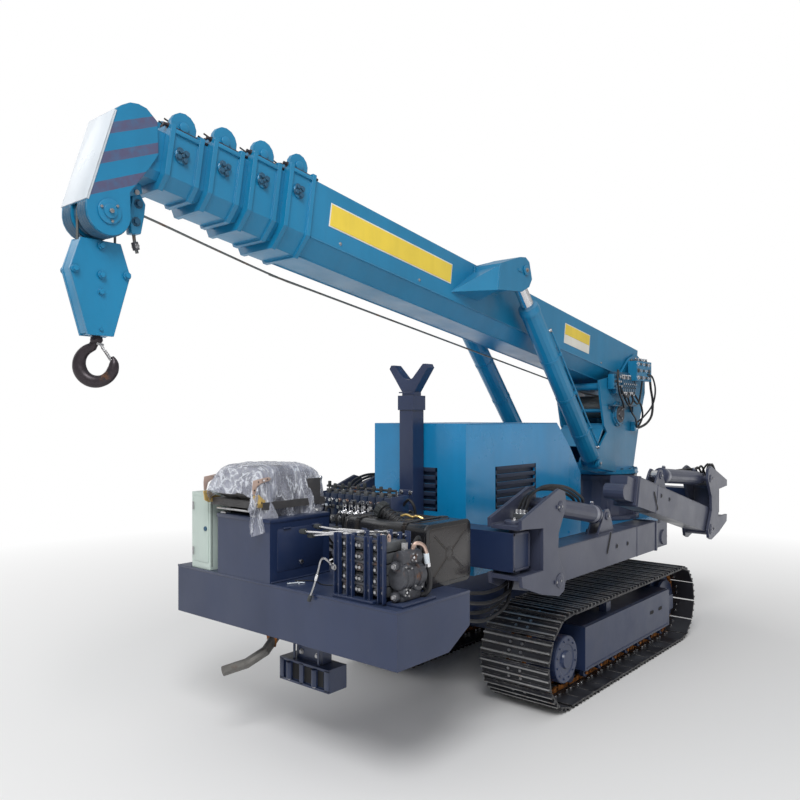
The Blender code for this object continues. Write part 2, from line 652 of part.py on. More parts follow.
def build_boom_rest(machine):
    half = REST_POST / 2
    floor = BEAM_Z[1] + GAP
    tip_x, tip_z = REST_PRONG
    right_half = [(half - 0.004, REST_COLLAR_TOP - 0.04), (half - 0.004, REST_COLLAR_TOP),
                  (tip_x, tip_z - 0.02), (tip_x - 0.012, tip_z), (tip_x - 0.034, tip_z),
                  (0.03, REST_NOTCH + 0.01)]
    fork = right_half + [(0.0, REST_NOTCH)] + [(-x, z) for x, z in reversed(right_half)]
    piece("boom_rest", "deck_navy", machine, [
        box((-half, half), (REST_Y - half, REST_Y + half), (floor, REST_COLLAR_TOP - 0.03)),
        box((-0.085, 0.085), (REST_Y - half + 0.002, REST_Y + half - 0.002), (floor, floor + 0.012)),
        box((-half - 0.008, half + 0.008), (REST_Y - half - 0.006, REST_Y + half + 0.006),
            (REST_COLLAR_TOP - 0.10, REST_COLLAR_TOP - 0.02)),
        prism(fork, (REST_Y - 0.03, REST_Y + 0.03), "Y"),
    ])


# ====================================================================== slewing column
def build_pedestal(machine):
    centre = (0.0, SLEW_Y)
    floor = PLATFORM_TOP + GAP
    piece("slew_pedestal", "outrigger_grey", machine,
          [z_bar(centre, (floor, PEDESTAL_TOP - 0.01), PEDESTAL_RADIUS, LARGE_ROUND),
           z_bar(centre, (floor + 0.001, floor + 0.03), PEDESTAL_RADIUS + 0.04, LARGE_ROUND),
           z_bar(centre, (PEDESTAL_TOP - 0.035, PEDESTAL_TOP), PEDESTAL_RADIUS + 0.025, LARGE_ROUND)],
          [z_bore(centre, (SPIGOT_BOTTOM - 0.006, PEDESTAL_TOP + 0.01), SPIGOT_RADIUS, LARGE_ROUND)])


def turret_outline():
    """Side plate (Y, Z), with the lift cylinder's foot pin inside its lower front corner."""
    foot = arc(LIFT_FOOT, 0.05, 240, 110, 6)
    return ([(1.34, 1.17), (0.70, 1.17)] + foot
            + [(0.665, 1.305), (0.862, 1.465), (0.815, 1.515), (0.762, 1.70), (0.73, 1.855), (1.10, 1.915),
               (1.27, 2.05), (1.40, 2.09), (1.51, 2.04), (1.575, 1.88), (1.575, 1.78), (1.47, 1.557)])


def build_turret(slew):
    """Turned parts of the column in world coordinates; the empty stands on the slewing axis."""
    inner, outer = TURRET_PLATE
    reach = inner + OVERLAP
    ear = LIFT_EAR
    y, z = LIFT_FOOT
    pivot = (BOOM_PIVOT[0] - SLEW_Y, BOOM_PIVOT[1])
    centre = (0.0, 0.0)
    shapes = [
        z_bar(centre, (TURRET_BASE, TURRET_DISC_TOP), PEDESTAL_RADIUS + 0.03, LARGE_ROUND),
        z_bar(centre, (SPIGOT_BOTTOM, TURRET_BASE + 0.01), SPIGOT_RADIUS, LARGE_ROUND),
    ]
    for side in (-1, 1):
        plate = [(point[0] - SLEW_Y, point[1]) for point in turret_outline()]
        shapes.append(prism(plate, both_ways((inner, outer), side), "X"))
        ear_plate = arc((y - SLEW_Y, z), LIFT_EYE_RADIUS, 235, 80, 6) + [(0.76 - SLEW_Y, 1.255), (0.76 - SLEW_Y, 1.178)]
        shapes.append(prism(ear_plate, both_ways(ear, side), "X"))
        shapes.append(box(both_ways((inner, ear[1] - 0.002), side), (0.715 - SLEW_Y, 0.758 - SLEW_Y),
                          (1.180, 1.253)))
        pin = both_ways((inner + 0.002, ear[1] + 0.006), side)
        shapes.append(x_bar((y - SLEW_Y, z), pin, LIFT_PIN_RADIUS))
        shapes.append(x_bar(pivot, both_ways((inner + 0.002, outer + 0.018), side), 0.07))
    front_plate = [(0.70, 1.18), (0.715, 1.18), (0.715, 1.35), (0.83, 1.495), (0.81, 1.495), (0.70, 1.36)]
    rear_plate = [(1.325, 1.18), (1.34, 1.18), (1.435, 1.56), (1.465, 1.72), (1.45, 1.72), (1.42, 1.56)]
    for outline in (front_plate, rear_plate):
        shapes.append(prism([(point[0] - SLEW_Y, point[1]) for point in outline], (-reach, reach), "X"))
    shapes.append(box((-reach, reach), (0.826 - SLEW_Y, 1.20 - SLEW_Y), (1.49, WINCH_BASE_TOP)))
    shapes.append(x_bar(TIE_TUBE, (-reach, reach), TIE_TUBE_RADIUS))
    shapes.append(x_bar(pivot, (-reach, reach), BOOM_PIN_RADIUS))
    window = [box((-0.11, 0.11), (0.65 - SLEW_Y, 0.80 - SLEW_Y), (1.24, 1.36))]
    piece("turret", "boom_blue", slew, shapes, window)
    low = WINCH_BASE_TOP + GAP
    piece("crane_valve_block", "boom_blue", slew, [
        box((outer + GAP, 0.225), (0.93 - SLEW_Y, 1.265 - SLEW_Y), (1.76, 1.885)),
        box((0.215, 0.285), (1.17 - SLEW_Y, 1.46 - SLEW_Y), (1.865, 2.02)),
    ])
    build_winch(slew, low)


def build_winch(slew, low):
    y, z = WINCH_CENTRE
    y -= SLEW_Y
    inner, outer = CHEEK
    cheek = [(y - 0.15, low), (y + 0.15, low), (y + 0.10, z + 0.09), (y + 0.04, z + 0.13),
             (y - 0.04, z + 0.13), (y - 0.17, z - 0.01)]
    shapes = [prism(cheek, both_ways((inner, outer), side), "X") for side in (-1, 1)]
    shapes.append(box((-outer + 0.002, outer - 0.002), (y - 0.145, y + 0.145), (low + 0.0005, low + 0.012)))
    shapes.append(x_bar((y - 0.145, z - 0.03), (-inner - OVERLAP, inner + OVERLAP), 0.014, SMALL_ROUND))
    axle_bore = x_bore((y, z), (-outer - 0.01, outer + 0.01), DRUM_AXLE_RADIUS)
    piece("winch_frame", "boom_blue", slew, shapes, [axle_bore])
    drum = empty("winch_axis", slew, (0.0, y, z))
    centre = (0.0, 0.0)
    wheel = [x_bar(centre, (-DRUM_HALF + 0.01, DRUM_HALF - 0.01), DRUM_RADIUS, LARGE_ROUND)]
    for side in (-1, 1):
        flange = both_ways((DRUM_HALF - 0.012, DRUM_HALF), side)
        wheel.append(x_bar(centre, flange, DRUM_FLANGE_RADIUS, LARGE_ROUND))
    wheel.append(x_bar(centre, (-outer + 0.001, outer - 0.001), DRUM_AXLE_RADIUS))
    piece("winch_drum", "bare_steel", drum, wheel)


# ====================================================================== boom
# The boom's empty lies on its pivot and leans with it: along the boom is -Y, up is +Z.
def section_outline(inset):
    """Cross-section (X, Z) of the boom, moved inwards by the inset on every side."""
    width, height = BOOM_CHAMFER
    slant = hypot(width, height)
    width_now = width - inset * (1 + width / height - slant / height)
    height_now = height - inset * (1 + height / width - slant / width)
    half = BOOM_HALF - inset
    top = BOOM_TOP - inset
    bottom = BOOM_BOTTOM + inset
    return [(-half, top), (-half, bottom + height_now), (-half + width_now, bottom),
            (half - width_now, bottom), (half, bottom + height_now), (half, top)]


def along(start, end):
    """Y values for a stretch given by two distances along the boom."""
    return (-end, -start)


def section_ends(number):
    """Distances of a section's rear and front ends from the boom's pivot; 0 is the outermost."""
    if number == 0:
        return FIRST_REAR, FIRST_FRONT
    return INNER_REAR + INNER_REAR_STEP * (number - 1), FIRST_FRONT + COLLAR_STEP * number


def build_boom(pivot):
    sheave = empty("head_sheave_axis", pivot, (0.0, -HEAD_SHEAVE[0], HEAD_SHEAVE[1]))
    for number in range(SECTION_COUNT):
        rear, front = section_ends(number)
        inset = SECTION_STEP * number
        tube_end = front - 0.002
        shapes = [prism(section_outline(inset), along(rear + 0.002 if number else rear, tube_end), "Y")]
        if number:
            band = SECTION_STEP * (number - 1) + SECTION_WALL + SLIDE_FIT
            shapes.append(prism(section_outline(band), along(rear, rear + BAND_LENGTH), "Y"))
        cuts = [prism(section_outline(inset + SECTION_WALL), along(rear - 0.1, front - BAND_LENGTH), "Y")]
        late = []
        bores = []
        if number < SECTION_COUNT - 1:
            shapes += collar(inset, front, EAR_RADIUS[number])
            mouth = inset + SECTION_STEP - SLIDE_FIT
            cuts.append(prism(section_outline(mouth), along(front - BAND_LENGTH - 0.01, front + 0.1), "Y"))
        else:
            shapes += head_shapes()
            cuts += head_cuts()
            late.append(x_bar((-HEAD_SHEAVE[0], HEAD_SHEAVE[1]), (-0.05, 0.05), SHEAVE_PIN_RADIUS))
        if number == 0:
            shapes += hood(-1) + hood(1)
            cuts += [hood_pocket(side) for side in (-1, 1)]
            late.append(x_bar((0.0, 0.0), (-BOOM_HALF, BOOM_HALF), 0.05))
            bores.append(x_bore((0.0, 0.0), (-0.2, 0.2), BOOM_PIN_RADIUS))
        stages = [shapes, cuts] + ([late] if late else []) + ([bores] if bores else [])
        piece("boom_section_" + str(number + 1), "boom_blue", pivot, *stages)
    piece("head_sheave", "bare_steel", sheave, [sheave_wheel(SHEAVE_RADIUS, SHEAVE_GROOVE, SHEAVE_HALF)],
          [x_bore((0.0, 0.0), (-0.1, 0.1), SHEAVE_PIN_RADIUS)])
    return sheave


def collar(inset, front, ear_radius):
    """Reinforced front end: two rims with a recessed face between them, and the ears on top."""
    rear = front - COLLAR_LENGTH
    shapes = [
        prism(section_outline(inset - COLLAR_FACE), along(rear + 0.005, front - 0.005), "Y"),
        prism(section_outline(inset - COLLAR_RIM), along(rear, rear + 0.022), "Y"),
        prism(section_outline(inset - COLLAR_RIM), along(front - 0.022, front), "Y"),
    ]
    middle = -(rear + front) / 2
    top = BOOM_TOP - inset
    half = BOOM_HALF - inset
    for side in (-1, 1):
        outline = arc((middle, top + EAR_RISE), ear_radius, -10, 190, 9)
        outline += [(middle - ear_radius, top), (middle + ear_radius, top)]
        shapes.append(prism(outline, both_ways((half - 0.045, half - 0.025), side), "X"))
    return shapes


def hood(side):
    """Bracket on the boom's side for the head of a lift cylinder, with a gusset in front of it."""
    outline = [(-2.26, 0.012), (-2.26, 0.168), (-2.06, 0.267), (-2.0, 0.284), (-1.955, 0.268), (-1.91, 0.175),
               (-1.935, 0.12), (-2.01, 0.07)]
    near, far = (value * side for value in HOOD_X)
    gusset = hull([(near, -2.47, -0.04), (near, -2.20, -0.02), (near, -2.20, 0.19), (far, -2.25, 0.014),
                   (far, -2.25, 0.166)])
    return [prism(outline, both_ways(HOOD_X, side), "X"), gusset]


def hood_pocket(side):
    outline = [(-2.14, -0.20), (-2.14, 0.208), (-2.05, 0.252), (-1.985, 0.264),
               (-1.70, 0.264), (-1.70, -0.20)]
    return prism(outline, both_ways(HOOD_POCKET_X, side), "X")


def head_shapes():
    """Boom head: a solid nose in front of the last section with two cheeks for the sheave."""
    s, up = HEAD_SHEAVE
    lobe = arc((-s, up), 0.086, 192, 380, 12)
    top = [(0.160, 0.0), (0.149, 0.07), (0.137, 0.125), (0.087, 0.155), (0.052, 0.156), (0.019, 0.146),
           (-0.012, 0.121), (-0.034, 0.093)]
    front = [(-0.0885, -0.268)]
    back = [(0.068, -0.185), (0.100, -0.125), (0.133, -0.061)]
    above, below = [[(y - s, z) for y, z in points] for points in (top + front, back)]
    return [prism(above + lobe + below, (-HEAD_HALF, HEAD_HALF), "X")]


def head_cuts():
    """Slot of the sheave, open to the front and below, so that the hook block can hang plumb."""
    s, up = HEAD_SHEAVE
    slot = (-SHEAVE_SLOT, SHEAVE_SLOT)
    disc = x_bar((-s, up), slot, 0.0835, LARGE_ROUND)
    opening = [(-s - 0.0955, up + 0.01), (-s - 0.0955, up - 0.30), (-s + 0.20, up - 0.30),
               (-s + 0.20, up + 0.085), (-s + 0.03, up + 0.090)]
    return [disc, prism(opening, slot, "X")]


def sheave_wheel(radius, groove, half):
    """Wheel with a V groove, turned about X."""
    profile = [(-half, 0.004), (-half, radius), (-0.58 * half, radius), (-0.32 * half, groove),
               (0.32 * half, groove), (0.58 * half, radius), (half, radius), (half, 0.004)]
    shape = bmesh.new()
    points = [shape.verts.new((x, 0.0, r)) for x, r in profile]
    edges = [shape.edges.new(pair) for pair in zip(points, points[1:] + points[:1])]
    bmesh.ops.spin(shape, geom=points + edges, axis=(1, 0, 0), cent=(0, 0, 0), angle=2 * pi,
                   steps=LARGE_ROUND, use_merge=True)
    bmesh.ops.recalc_face_normals(shape, faces=shape.faces)
    return shape


# ====================================================================== hook block
def build_hook_block(sheave):
    """Block, rope falls and hook. They hang plumb, so their empty undoes the boom's lean."""
    plumb = empty("hook_block_axis", sheave, (0.0, 0.0, 0.0), radians(BOOM_ANGLE))
    top, widest, bottom = -BLOCK_TOP, -BLOCK_WIDEST, -BLOCK_BOTTOM
    at_top, at_widest, at_bottom = BLOCK_HALF_WIDTHS
    outline = [(-at_top, top), (-at_widest, widest), (-at_bottom, bottom), (at_bottom, bottom),
               (at_widest, widest), (at_top, top)]
    inner, outer = BLOCK_PLATE
    shapes = [prism(outline, both_ways((inner, outer), side), "X") for side in (-1, 1)]
    reach = inner + OVERLAP
    shapes.append(box((-reach, reach), (-0.045, 0.045), (bottom + 0.002, bottom + 0.05)))
    for y, z in ((0.0, widest - 0.01), (-0.101, widest), (0.101, widest), (0.0, top - 0.02)):
        shapes.append(x_bar((y, z), (-outer - 0.006, outer + 0.006), 0.011, SMALL_ROUND))
    shapes.append(x_bar((0.0, widest - 0.01), (-0.012, 0.012), FALL_SPREAD - ROPE_RADIUS - GAP, LARGE_ROUND))
    neck_bore = z_bore((0.0, 0.0), (bottom - 0.01, bottom + 0.06), 0.016, SMALL_ROUND)
    piece("hook_block", "boom_blue", plumb, shapes, [neck_bore])
    over = [(0.0, y, z) for y, z in arc((0.0, 0.0), FALL_SPREAD, 180, 0, 13)]
    fall = [(0.0, -FALL_SPREAD, widest - 0.01)] + over + [(0.0, FALL_SPREAD, widest - 0.01)]
    piece("rope_falls", "bare_steel", plumb, [pipe(fall, ROPE_RADIUS, 8)])
    build_hook(plumb, bottom)


def build_hook(plumb, bottom):
    swivel = empty("hook_axis", plumb, (0.0, 0.0, bottom))
    across, out = sin(radians(HOOK_TURN)), cos(radians(HOOK_TURN))
    bowl = [(y * across, y * out, z) for y, z in arc((0.0, HOOK_CENTRE), HOOK_RADIUS, 105, 382, 16)]
    shank = [(0.0, 0.0, 0.040), (0.0, 0.0, -0.02)]
    piece("hook", "hook_black", swivel, [
        bar(shank[0], shank[1], 0.016, SMALL_ROUND),
        bar((0.0, 0.0, 0.052), (0.0, 0.0, 0.066), 0.0205, SMALL_ROUND),
        bar((0.0, 0.0, 0.058), (0.0, 0.0, 0.030), 0.016, SMALL_ROUND),
        pipe([(0.0, 0.0, -0.012)] + bowl, HOOK_RADII, 10),
    ])


# ====================================================================== lift cylinders
def build_lift_cylinders(slew):
    """Barrels on the turret and the rods in them. Each empty aims from the foot at the boom's bracket."""
    lean = radians(BOOM_ANGLE)
    s, up = LIFT_HEAD
    head = (BOOM_PIVOT[0] - s * cos(lean) + up * sin(lean), BOOM_PIVOT[1] + s * sin(lean) + up * cos(lean))
    foot_y, foot_z = LIFT_FOOT
    length = hypot(head[0] - foot_y, head[1] - foot_z)
    aim = atan2(head[1] - foot_z, foot_y - head[0])
    for label, side in SIDES:
        foot = empty("lift_axis_" + label, slew, (LIFT_X * side, foot_y - SLEW_Y, foot_z), -aim)
        eye = (-LIFT_EYE_HALF, LIFT_EYE_HALF)
        piece("lift_barrel_" + label, "boom_blue", foot,
              [bar((0, -0.065, 0), (0, -LIFT_BARREL_LENGTH, 0), LIFT_BARREL_RADIUS),
               x_bar((0, 0), eye, LIFT_EYE_RADIUS),
               box((-0.024, 0.024), (-0.07, -0.02), (-0.035, 0.035)),
               bar((0, -LIFT_BARREL_LENGTH + 0.05, 0), (0, -LIFT_BARREL_LENGTH - 0.006, 0),
                   LIFT_BARREL_RADIUS - 0.004)],
              [x_bore((0, 0), (-0.1, 0.1), LIFT_PIN_RADIUS),
               bore((0, -0.085, 0), (0, -LIFT_BARREL_LENGTH - 0.1, 0), LIFT_ROD_RADIUS)])
        piece("lift_rod_" + label, "chrome", foot,
              [bar((0, -length + LIFT_ROD_LENGTH, 0), (0, -length + 0.02, 0), LIFT_ROD_RADIUS),
               x_bar((-length, 0), (-0.032, 0.032), LIFT_ROD_EYE),
               x_bar((-length, 0), (-0.048, 0.048), 0.018, SMALL_ROUND)])


# ====================================================================== outriggers
def build_outrigger(record, machine):
    """Yoke, arm, leg and the cylinder that lowers them. Each empty lies on its joint's axis."""
    name, side, way, swing_y, rise, lug = record
    name = "outrigger_" + name + "_"
    swing = empty(name + "swing_axis", machine, (SWING_X * side, swing_y, 0.0))
    build_yoke(name, way, swing)
    lean = radians(rise) * way
    hinge = empty(name + "arm_axis", swing, (0.0, way * ARM_PIN[0], ARM_PIN[1]), lean)
    build_arm(name, way, hinge, lug)
    out, up = lug
    level = (cos(radians(rise)), sin(radians(rise)))
    lug_out = ARM_PIN[0] + out * level[0] - up * level[1]
    lug_up = ARM_PIN[1] + out * level[1] + up * level[0]
    length = hypot(lug_out - RAM_PIN[0], lug_up - RAM_PIN[1])
    aim = atan2(lug_up - RAM_PIN[1], lug_out - RAM_PIN[0])
    ram = empty(name + "ram_axis", swing, (0.0, way * RAM_PIN[0], RAM_PIN[1]), aim * way)
    build_ram(name, way, ram, length)


def build_yoke(name, way, swing):
    outline = [(-0.095, 1.075), (0.28, 1.203), (0.345, 1.185), (0.36, 1.11), (0.275, 0.97), (0.27, 0.86),
               (0.355, 0.72), (0.335, 0.66), (0.28, 0.64), (0.10, 0.68), (-0.085, 0.745), (-0.095, 0.80),
               (0.115, 0.80), (0.115, 1.015), (-0.095, 1.03)]
    outline = [(out * way, z) for out, z in outline]
    inner = YOKE_HALF - YOKE_PLATE
    reach = inner + OVERLAP
    shapes = [prism(outline, both_ways((inner, YOKE_HALF), side), "X") for side in (-1, 1)]

    def filler(out, z):
        return box((-reach, reach), (out[0] * way, out[1] * way), z)

    shapes += [filler((0.118, 0.138), (0.78, 1.035)), filler((-0.085, 0.17), (1.022, 1.042)),
               filler((-0.085, 0.14), (0.773, 0.793))]
    pins = YOKE_HALF + 0.006
    shapes += [
        z_bar((0.0, 0.0), (0.765, 1.055), SWING_PIN_RADIUS),
        x_bar((ARM_PIN[0] * way, ARM_PIN[1]), (-pins, pins), ARM_PIN_RADIUS),
        x_bar((RAM_PIN[0] * way, RAM_PIN[1]), (-pins, pins), RAM_PIN_RADIUS),
    ]
    piece(name + "yoke", "outrigger_grey", swing, shapes)


def build_arm(name, way, hinge, lug):
    """Box arm and the leg that slides in it, in the frame of the arm's pin."""
    def block(half, out, z):
        return box((-half, half), ((out[0] - ARM_PIN[0]) * way, (out[1] - ARM_PIN[0]) * way),
                   (z[0] - ARM_PIN[1], z[1] - ARM_PIN[1]))

    low, high = ARM_Z
    middle = (low + high) / 2
    leg_half = LEG_SIZE[0] / 2
    leg_z = (middle - LEG_SIZE[1] / 2, middle + LEG_SIZE[1] / 2)
    hollow_half = ARM_HALF - ARM_WALL
    hollow_z = (low + ARM_WALL, high - ARM_WALL)
    shapes = [block(ARM_HALF, (ARM_START, ARM_END), ARM_Z), x_bar((0.0, 0.0), (-ARM_HALF, ARM_HALF), 0.045)]
    top = high - ARM_PIN[1]
    out, up = lug
    plate = [(out - 0.125, top - OVERLAP), (out - 0.042, up + 0.016), (out - 0.020, up + 0.042),
             (out + 0.020, up + 0.042), (out + 0.042, up + 0.016), (out + 0.092, top - OVERLAP)]
    plate = [(x * way, z) for x, z in plate]
    shapes += [prism(plate, both_ways((LUG_HALF - LUG_PLATE, LUG_HALF), side), "X") for side in (-1, 1)]
    mouth = 0.04
    cuts = [
        block(hollow_half, (0.37, ARM_END - mouth), hollow_z),
        block(leg_half + SLIDE_FIT, (ARM_END - 0.10, ARM_END + 0.05),
              (leg_z[0] - SLIDE_FIT, leg_z[1] + SLIDE_FIT)),
        x_bore((0.0, 0.0), (-0.1, 0.1), ARM_PIN_RADIUS),
    ]
    piece(name + "arm", "outrigger_grey", hinge, shapes, cuts)
    band = hollow_half - SLIDE_FIT
    piece(name + "leg", "outrigger_grey", hinge, [
        block(leg_half, (LEG_START + 0.005, LEG_END), leg_z),
        block(band, (LEG_START, LEG_START + 0.06), (hollow_z[0] + SLIDE_FIT, hollow_z[1] - SLIDE_FIT)),
        x_bar(((LEG_END + 0.02 - ARM_PIN[0]) * way, middle - ARM_PIN[1] - 0.03),
              (-leg_half - 0.01, leg_half + 0.01), FOOT_RADIUS),
    ])


def build_ram(name, way, ram, length):
    """Lowering cylinder, in the frame of its foot pin."""
    barrel_end = length - 0.09
    piece(name + "barrel", "outrigger_grey", ram,
          [bar((0, 0.03 * way, 0), (0, barrel_end * way, 0), RAM_RADIUS),
           x_bar((0, 0), (-0.045, 0.045), RAM_EYE_RADIUS)],
          [x_bore((0, 0), (-0.1, 0.1), RAM_PIN_RADIUS),
           bore((0, 0.06 * way, 0), (0, (barrel_end + 0.1) * way, 0), RAM_ROD_RADIUS)])
    half = LUG_HALF - LUG_PLATE - 0.004
    piece(name + "rod", "chrome", ram,
          [bar((0, 0.08 * way, 0), (0, (length - 0.01) * way, 0), RAM_ROD_RADIUS),
           x_bar((length * way, 0), (-half, half), 0.034)])


# ====================================================================== whole machine
def origin_shift():
    """Shift that puts the middle of the crane's length, hook block to rear end, at Y = 0."""
    lean = radians(BOOM_ANGLE)
    s, up = HEAD_SHEAVE
    front = BOOM_PIVOT[0] - s * cos(lean) + up * sin(lean) - BLOCK_HALF_WIDTHS[1]
    return -(front + SPINE_REAR) / 2


def build():
    clear_scene()
    machine = empty("machine", None, (0.0, origin_shift(), 0.0))
    for label, side in SIDES:
        build_track(side, label, machine)
        build_track_frame(side, label, machine)
    build_chassis(machine)
    build_deck(machine)
    build_cover(machine)
    build_boom_rest(machine)
    build_pedestal(machine)
    slew = empty("slew_axis", machine, (0.0, SLEW_Y, 0.0))
    build_turret(slew)
    build_lift_cylinders(slew)
    pivot = empty("boom_pivot", slew, (0.0, BOOM_PIVOT[0] - SLEW_Y, BOOM_PIVOT[1]), -radians(BOOM_ANGLE))
    sheave = build_boom(pivot)
    build_hook_block(sheave)
    for record in OUTRIGGERS:
        build_outrigger(record, machine)


build()
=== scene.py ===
"""Looks of the spider crane: the finish of every part, and the fine pieces that stand on them.

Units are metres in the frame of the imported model: +Z up, the ground at Z = 0, the front deck and the boom
point along -Y, and the crane's left side is +X.
"""
import json
from math import cos, degrees, exp, pi, radians, sin
from random import Random

import bmesh
import bpy
from bpy.props import FloatProperty, FloatVectorProperty, IntProperty, PointerProperty
from mathutils import Matrix, Vector


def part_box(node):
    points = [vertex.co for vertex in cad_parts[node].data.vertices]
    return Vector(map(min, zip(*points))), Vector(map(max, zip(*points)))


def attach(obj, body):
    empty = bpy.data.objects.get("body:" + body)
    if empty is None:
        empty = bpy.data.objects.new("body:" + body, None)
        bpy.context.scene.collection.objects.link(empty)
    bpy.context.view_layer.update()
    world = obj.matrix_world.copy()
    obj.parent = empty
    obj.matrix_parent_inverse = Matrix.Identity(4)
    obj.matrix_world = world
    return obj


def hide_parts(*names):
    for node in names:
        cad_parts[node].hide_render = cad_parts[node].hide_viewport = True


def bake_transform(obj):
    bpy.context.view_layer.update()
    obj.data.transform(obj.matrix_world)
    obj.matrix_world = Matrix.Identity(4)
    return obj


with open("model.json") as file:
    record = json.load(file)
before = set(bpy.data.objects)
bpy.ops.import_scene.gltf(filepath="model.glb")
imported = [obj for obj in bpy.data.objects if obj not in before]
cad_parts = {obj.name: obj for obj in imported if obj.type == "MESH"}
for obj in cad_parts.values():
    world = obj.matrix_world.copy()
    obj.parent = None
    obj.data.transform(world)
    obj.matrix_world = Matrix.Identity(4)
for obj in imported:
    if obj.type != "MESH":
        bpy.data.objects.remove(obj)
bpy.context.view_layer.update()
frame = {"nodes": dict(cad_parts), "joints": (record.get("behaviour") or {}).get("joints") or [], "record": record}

bl_info = {
    "name": "Spider crane", "version": (1, 0, 0), "blender": (4, 5, 0), "category": "Object",
    "location": "View3D > Sidebar > Crane",
    "description": "Finishes and fine pieces of a tracked spider crane",
}


# ====================================================================== what a user would change
def colour(name, description, *default):
    return FloatVectorProperty(name=name, description=description, default=default, size=3, min=0.0, max=1.0,
                               subtype="COLOR")


def length(name, description, default):
    return FloatProperty(name=name, description=description, default=default, min=0.0, unit="LENGTH")


class CranePaints(bpy.types.PropertyGroup):
    """Colours of the crane's finishes."""
    boom: colour("Boom", "Paint of the boom, its column and the hook block", 0.006, 0.205, 0.4)
    cover: colour("Cover", "Paint of the engine cover and its base plate", 0.004, 0.245, 0.53)
    deck: colour("Deck", "Paint of the deck, the chassis and the track frames", 0.013, 0.027, 0.08)
    outrigger: colour("Outriggers", "Paint of the outriggers and the column's foot", 0.05, 0.058, 0.1)
    cabinet: colour("Cabinet", "Paint of the side cabinet", 0.56, 0.66, 0.61)
    stripe: colour("Stripes", "Faded warning stripes on the boom head", 0.088, 0.08, 0.16)
    sign: colour("Signs", "Blank warning plates", 0.86, 0.64, 0.06)
    rust: colour("Rust", "Rust on the track chains", 0.36, 0.145, 0.03)
    rubber: colour("Rubber", "Hoses, grips and cables", 0.012, 0.012, 0.014)


class CraneSizes(bpy.types.PropertyGroup):
    """Sizes of the fine pieces."""
    shoe_count: IntProperty(name="Shoes", description="Shoes in one track", default=36, min=12)
    shoe_width: length("Shoe width", "Width of a track shoe", 0.42)
    shoe_thickness: length("Shoe height", "Height of a shoe with its bars", 0.025)
    chain_depth: length("Chain depth", "Depth of the chain inside the shoes", 0.034)
    hose: length("Hose radius", "Outer radius of a hydraulic hose", 0.008)
    rope: length("Rope radius", "Radius of the winch rope", 0.005)
    edge: length("Edge rounding", "Radius that the finishes give to sharp edges", 0.004)


class Box:
    """Extents of a CAD node: x0 to x1 across, y0 to y1 from front to back, z0 to z1 upwards."""
    def __init__(self, node):
        (self.x0, self.y0, self.z0), (self.x1, self.y1, self.z1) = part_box(node)


def joint(name, key="pos_m"):
    """Place of a joint, or its axis."""
    return Vector(next(entry for entry in frame["joints"] if entry["name"] == name)[key])


SIDES = (-1, 1)
ACROSS = Vector((1, 0, 0))


# ====================================================================== shapes
def moved(matrix, shape):
    bmesh.ops.transform(shape, matrix=matrix, verts=shape.verts)
    return shape


def soften(shape, soft):
    """Rounds a shape's sharp edges."""
    if soft:
        edges = [edge for edge in shape.edges if edge.calc_face_angle(0.0) > radians(35)]
        bmesh.ops.bevel(shape, geom=edges, offset=soft, offset_type="OFFSET", affect="EDGES", segments=2,
                        profile=0.5, material=-1, clamp_overlap=True)
    return shape


def block(x, y, z, soft=0.0):
    """A block between the two values of each pair, its edges rounded by soft."""
    low, high = Vector((min(x), min(y), min(z))), Vector((max(x), max(y), max(z)))
    shape = bmesh.new()
    bmesh.ops.create_cube(shape, size=1.0)
    bmesh.ops.scale(shape, verts=shape.verts, vec=high - low)
    bmesh.ops.translate(shape, verts=shape.verts, vec=(low + high) / 2)
    return soften(shape, soft)


def rod(start, end, radius, sides=16, soft=0.0, end_radius=None):
    """A round bar, or a cone if its end has another radius."""
    start, end = Vector(start), Vector(end)
    shape = bmesh.new()
    bmesh.ops.create_cone(shape, cap_ends=True, segments=sides, radius1=radius,
                          radius2=radius if end_radius is None else end_radius, depth=(end - start).length)
    turn = (end - start).to_track_quat("Z", "Y").to_matrix().to_4x4()
    return soften(moved(Matrix.Translation((start + end) / 2) @ turn, shape), soft)


def plate(outline, span, axis="X", soft=0.0):
    """An outline pushed along axis X (its points are Y, Z), Y (X, Z) or Z (X, Y)."""
    def place(point, depth):
        along = "XYZ".index(axis)
        return (*point[:along], depth, *point[along:])

    shape = bmesh.new()
    face = shape.faces.new([shape.verts.new(place(point, min(span))) for point in outline])
    grown = bmesh.ops.extrude_face_region(shape, geom=[face])["geom"]
    far = [part for part in grown if isinstance(part, bmesh.types.BMVert)]
    bmesh.ops.translate(shape, verts=far, vec=place((0.0, 0.0), max(span) - min(span)))
    bmesh.ops.recalc_face_normals(shape, faces=shape.faces)
    return soften(shape, soft)


def turned(profile, centre, axis="X", steps=28):
    """A profile of (distance along the axis, radius) spun about it; its ends may lie on the axis."""
    shape = bmesh.new()
    points = [shape.verts.new((0.0, radius, along)) for along, radius in profile]
    edges = [shape.edges.new(pair) for pair in zip(points, points[1:])]
    bmesh.ops.spin(shape, geom=points + edges, axis=(0, 0, 1), cent=(0, 0, 0), angle=2 * pi, steps=steps,
                   use_merge=True)
    bmesh.ops.remove_doubles(shape, verts=shape.verts, dist=1e-6)
    bmesh.ops.holes_fill(shape, edges=shape.edges)
    turn = {"X": Matrix.Rotation(pi / 2, 4, "Y"), "Y": Matrix.Rotation(-pi / 2, 4, "X"),
            "Z": Matrix.Identity(4)}[axis]
    moved(Matrix.Translation(centre) @ turn, shape)
    bmesh.ops.recalc_face_normals(shape, faces=shape.faces)
    return shape


def evaluated_mesh(thing):
    return bpy.data.meshes.new_from_object(thing.evaluated_get(bpy.context.evaluated_depsgraph_get()))


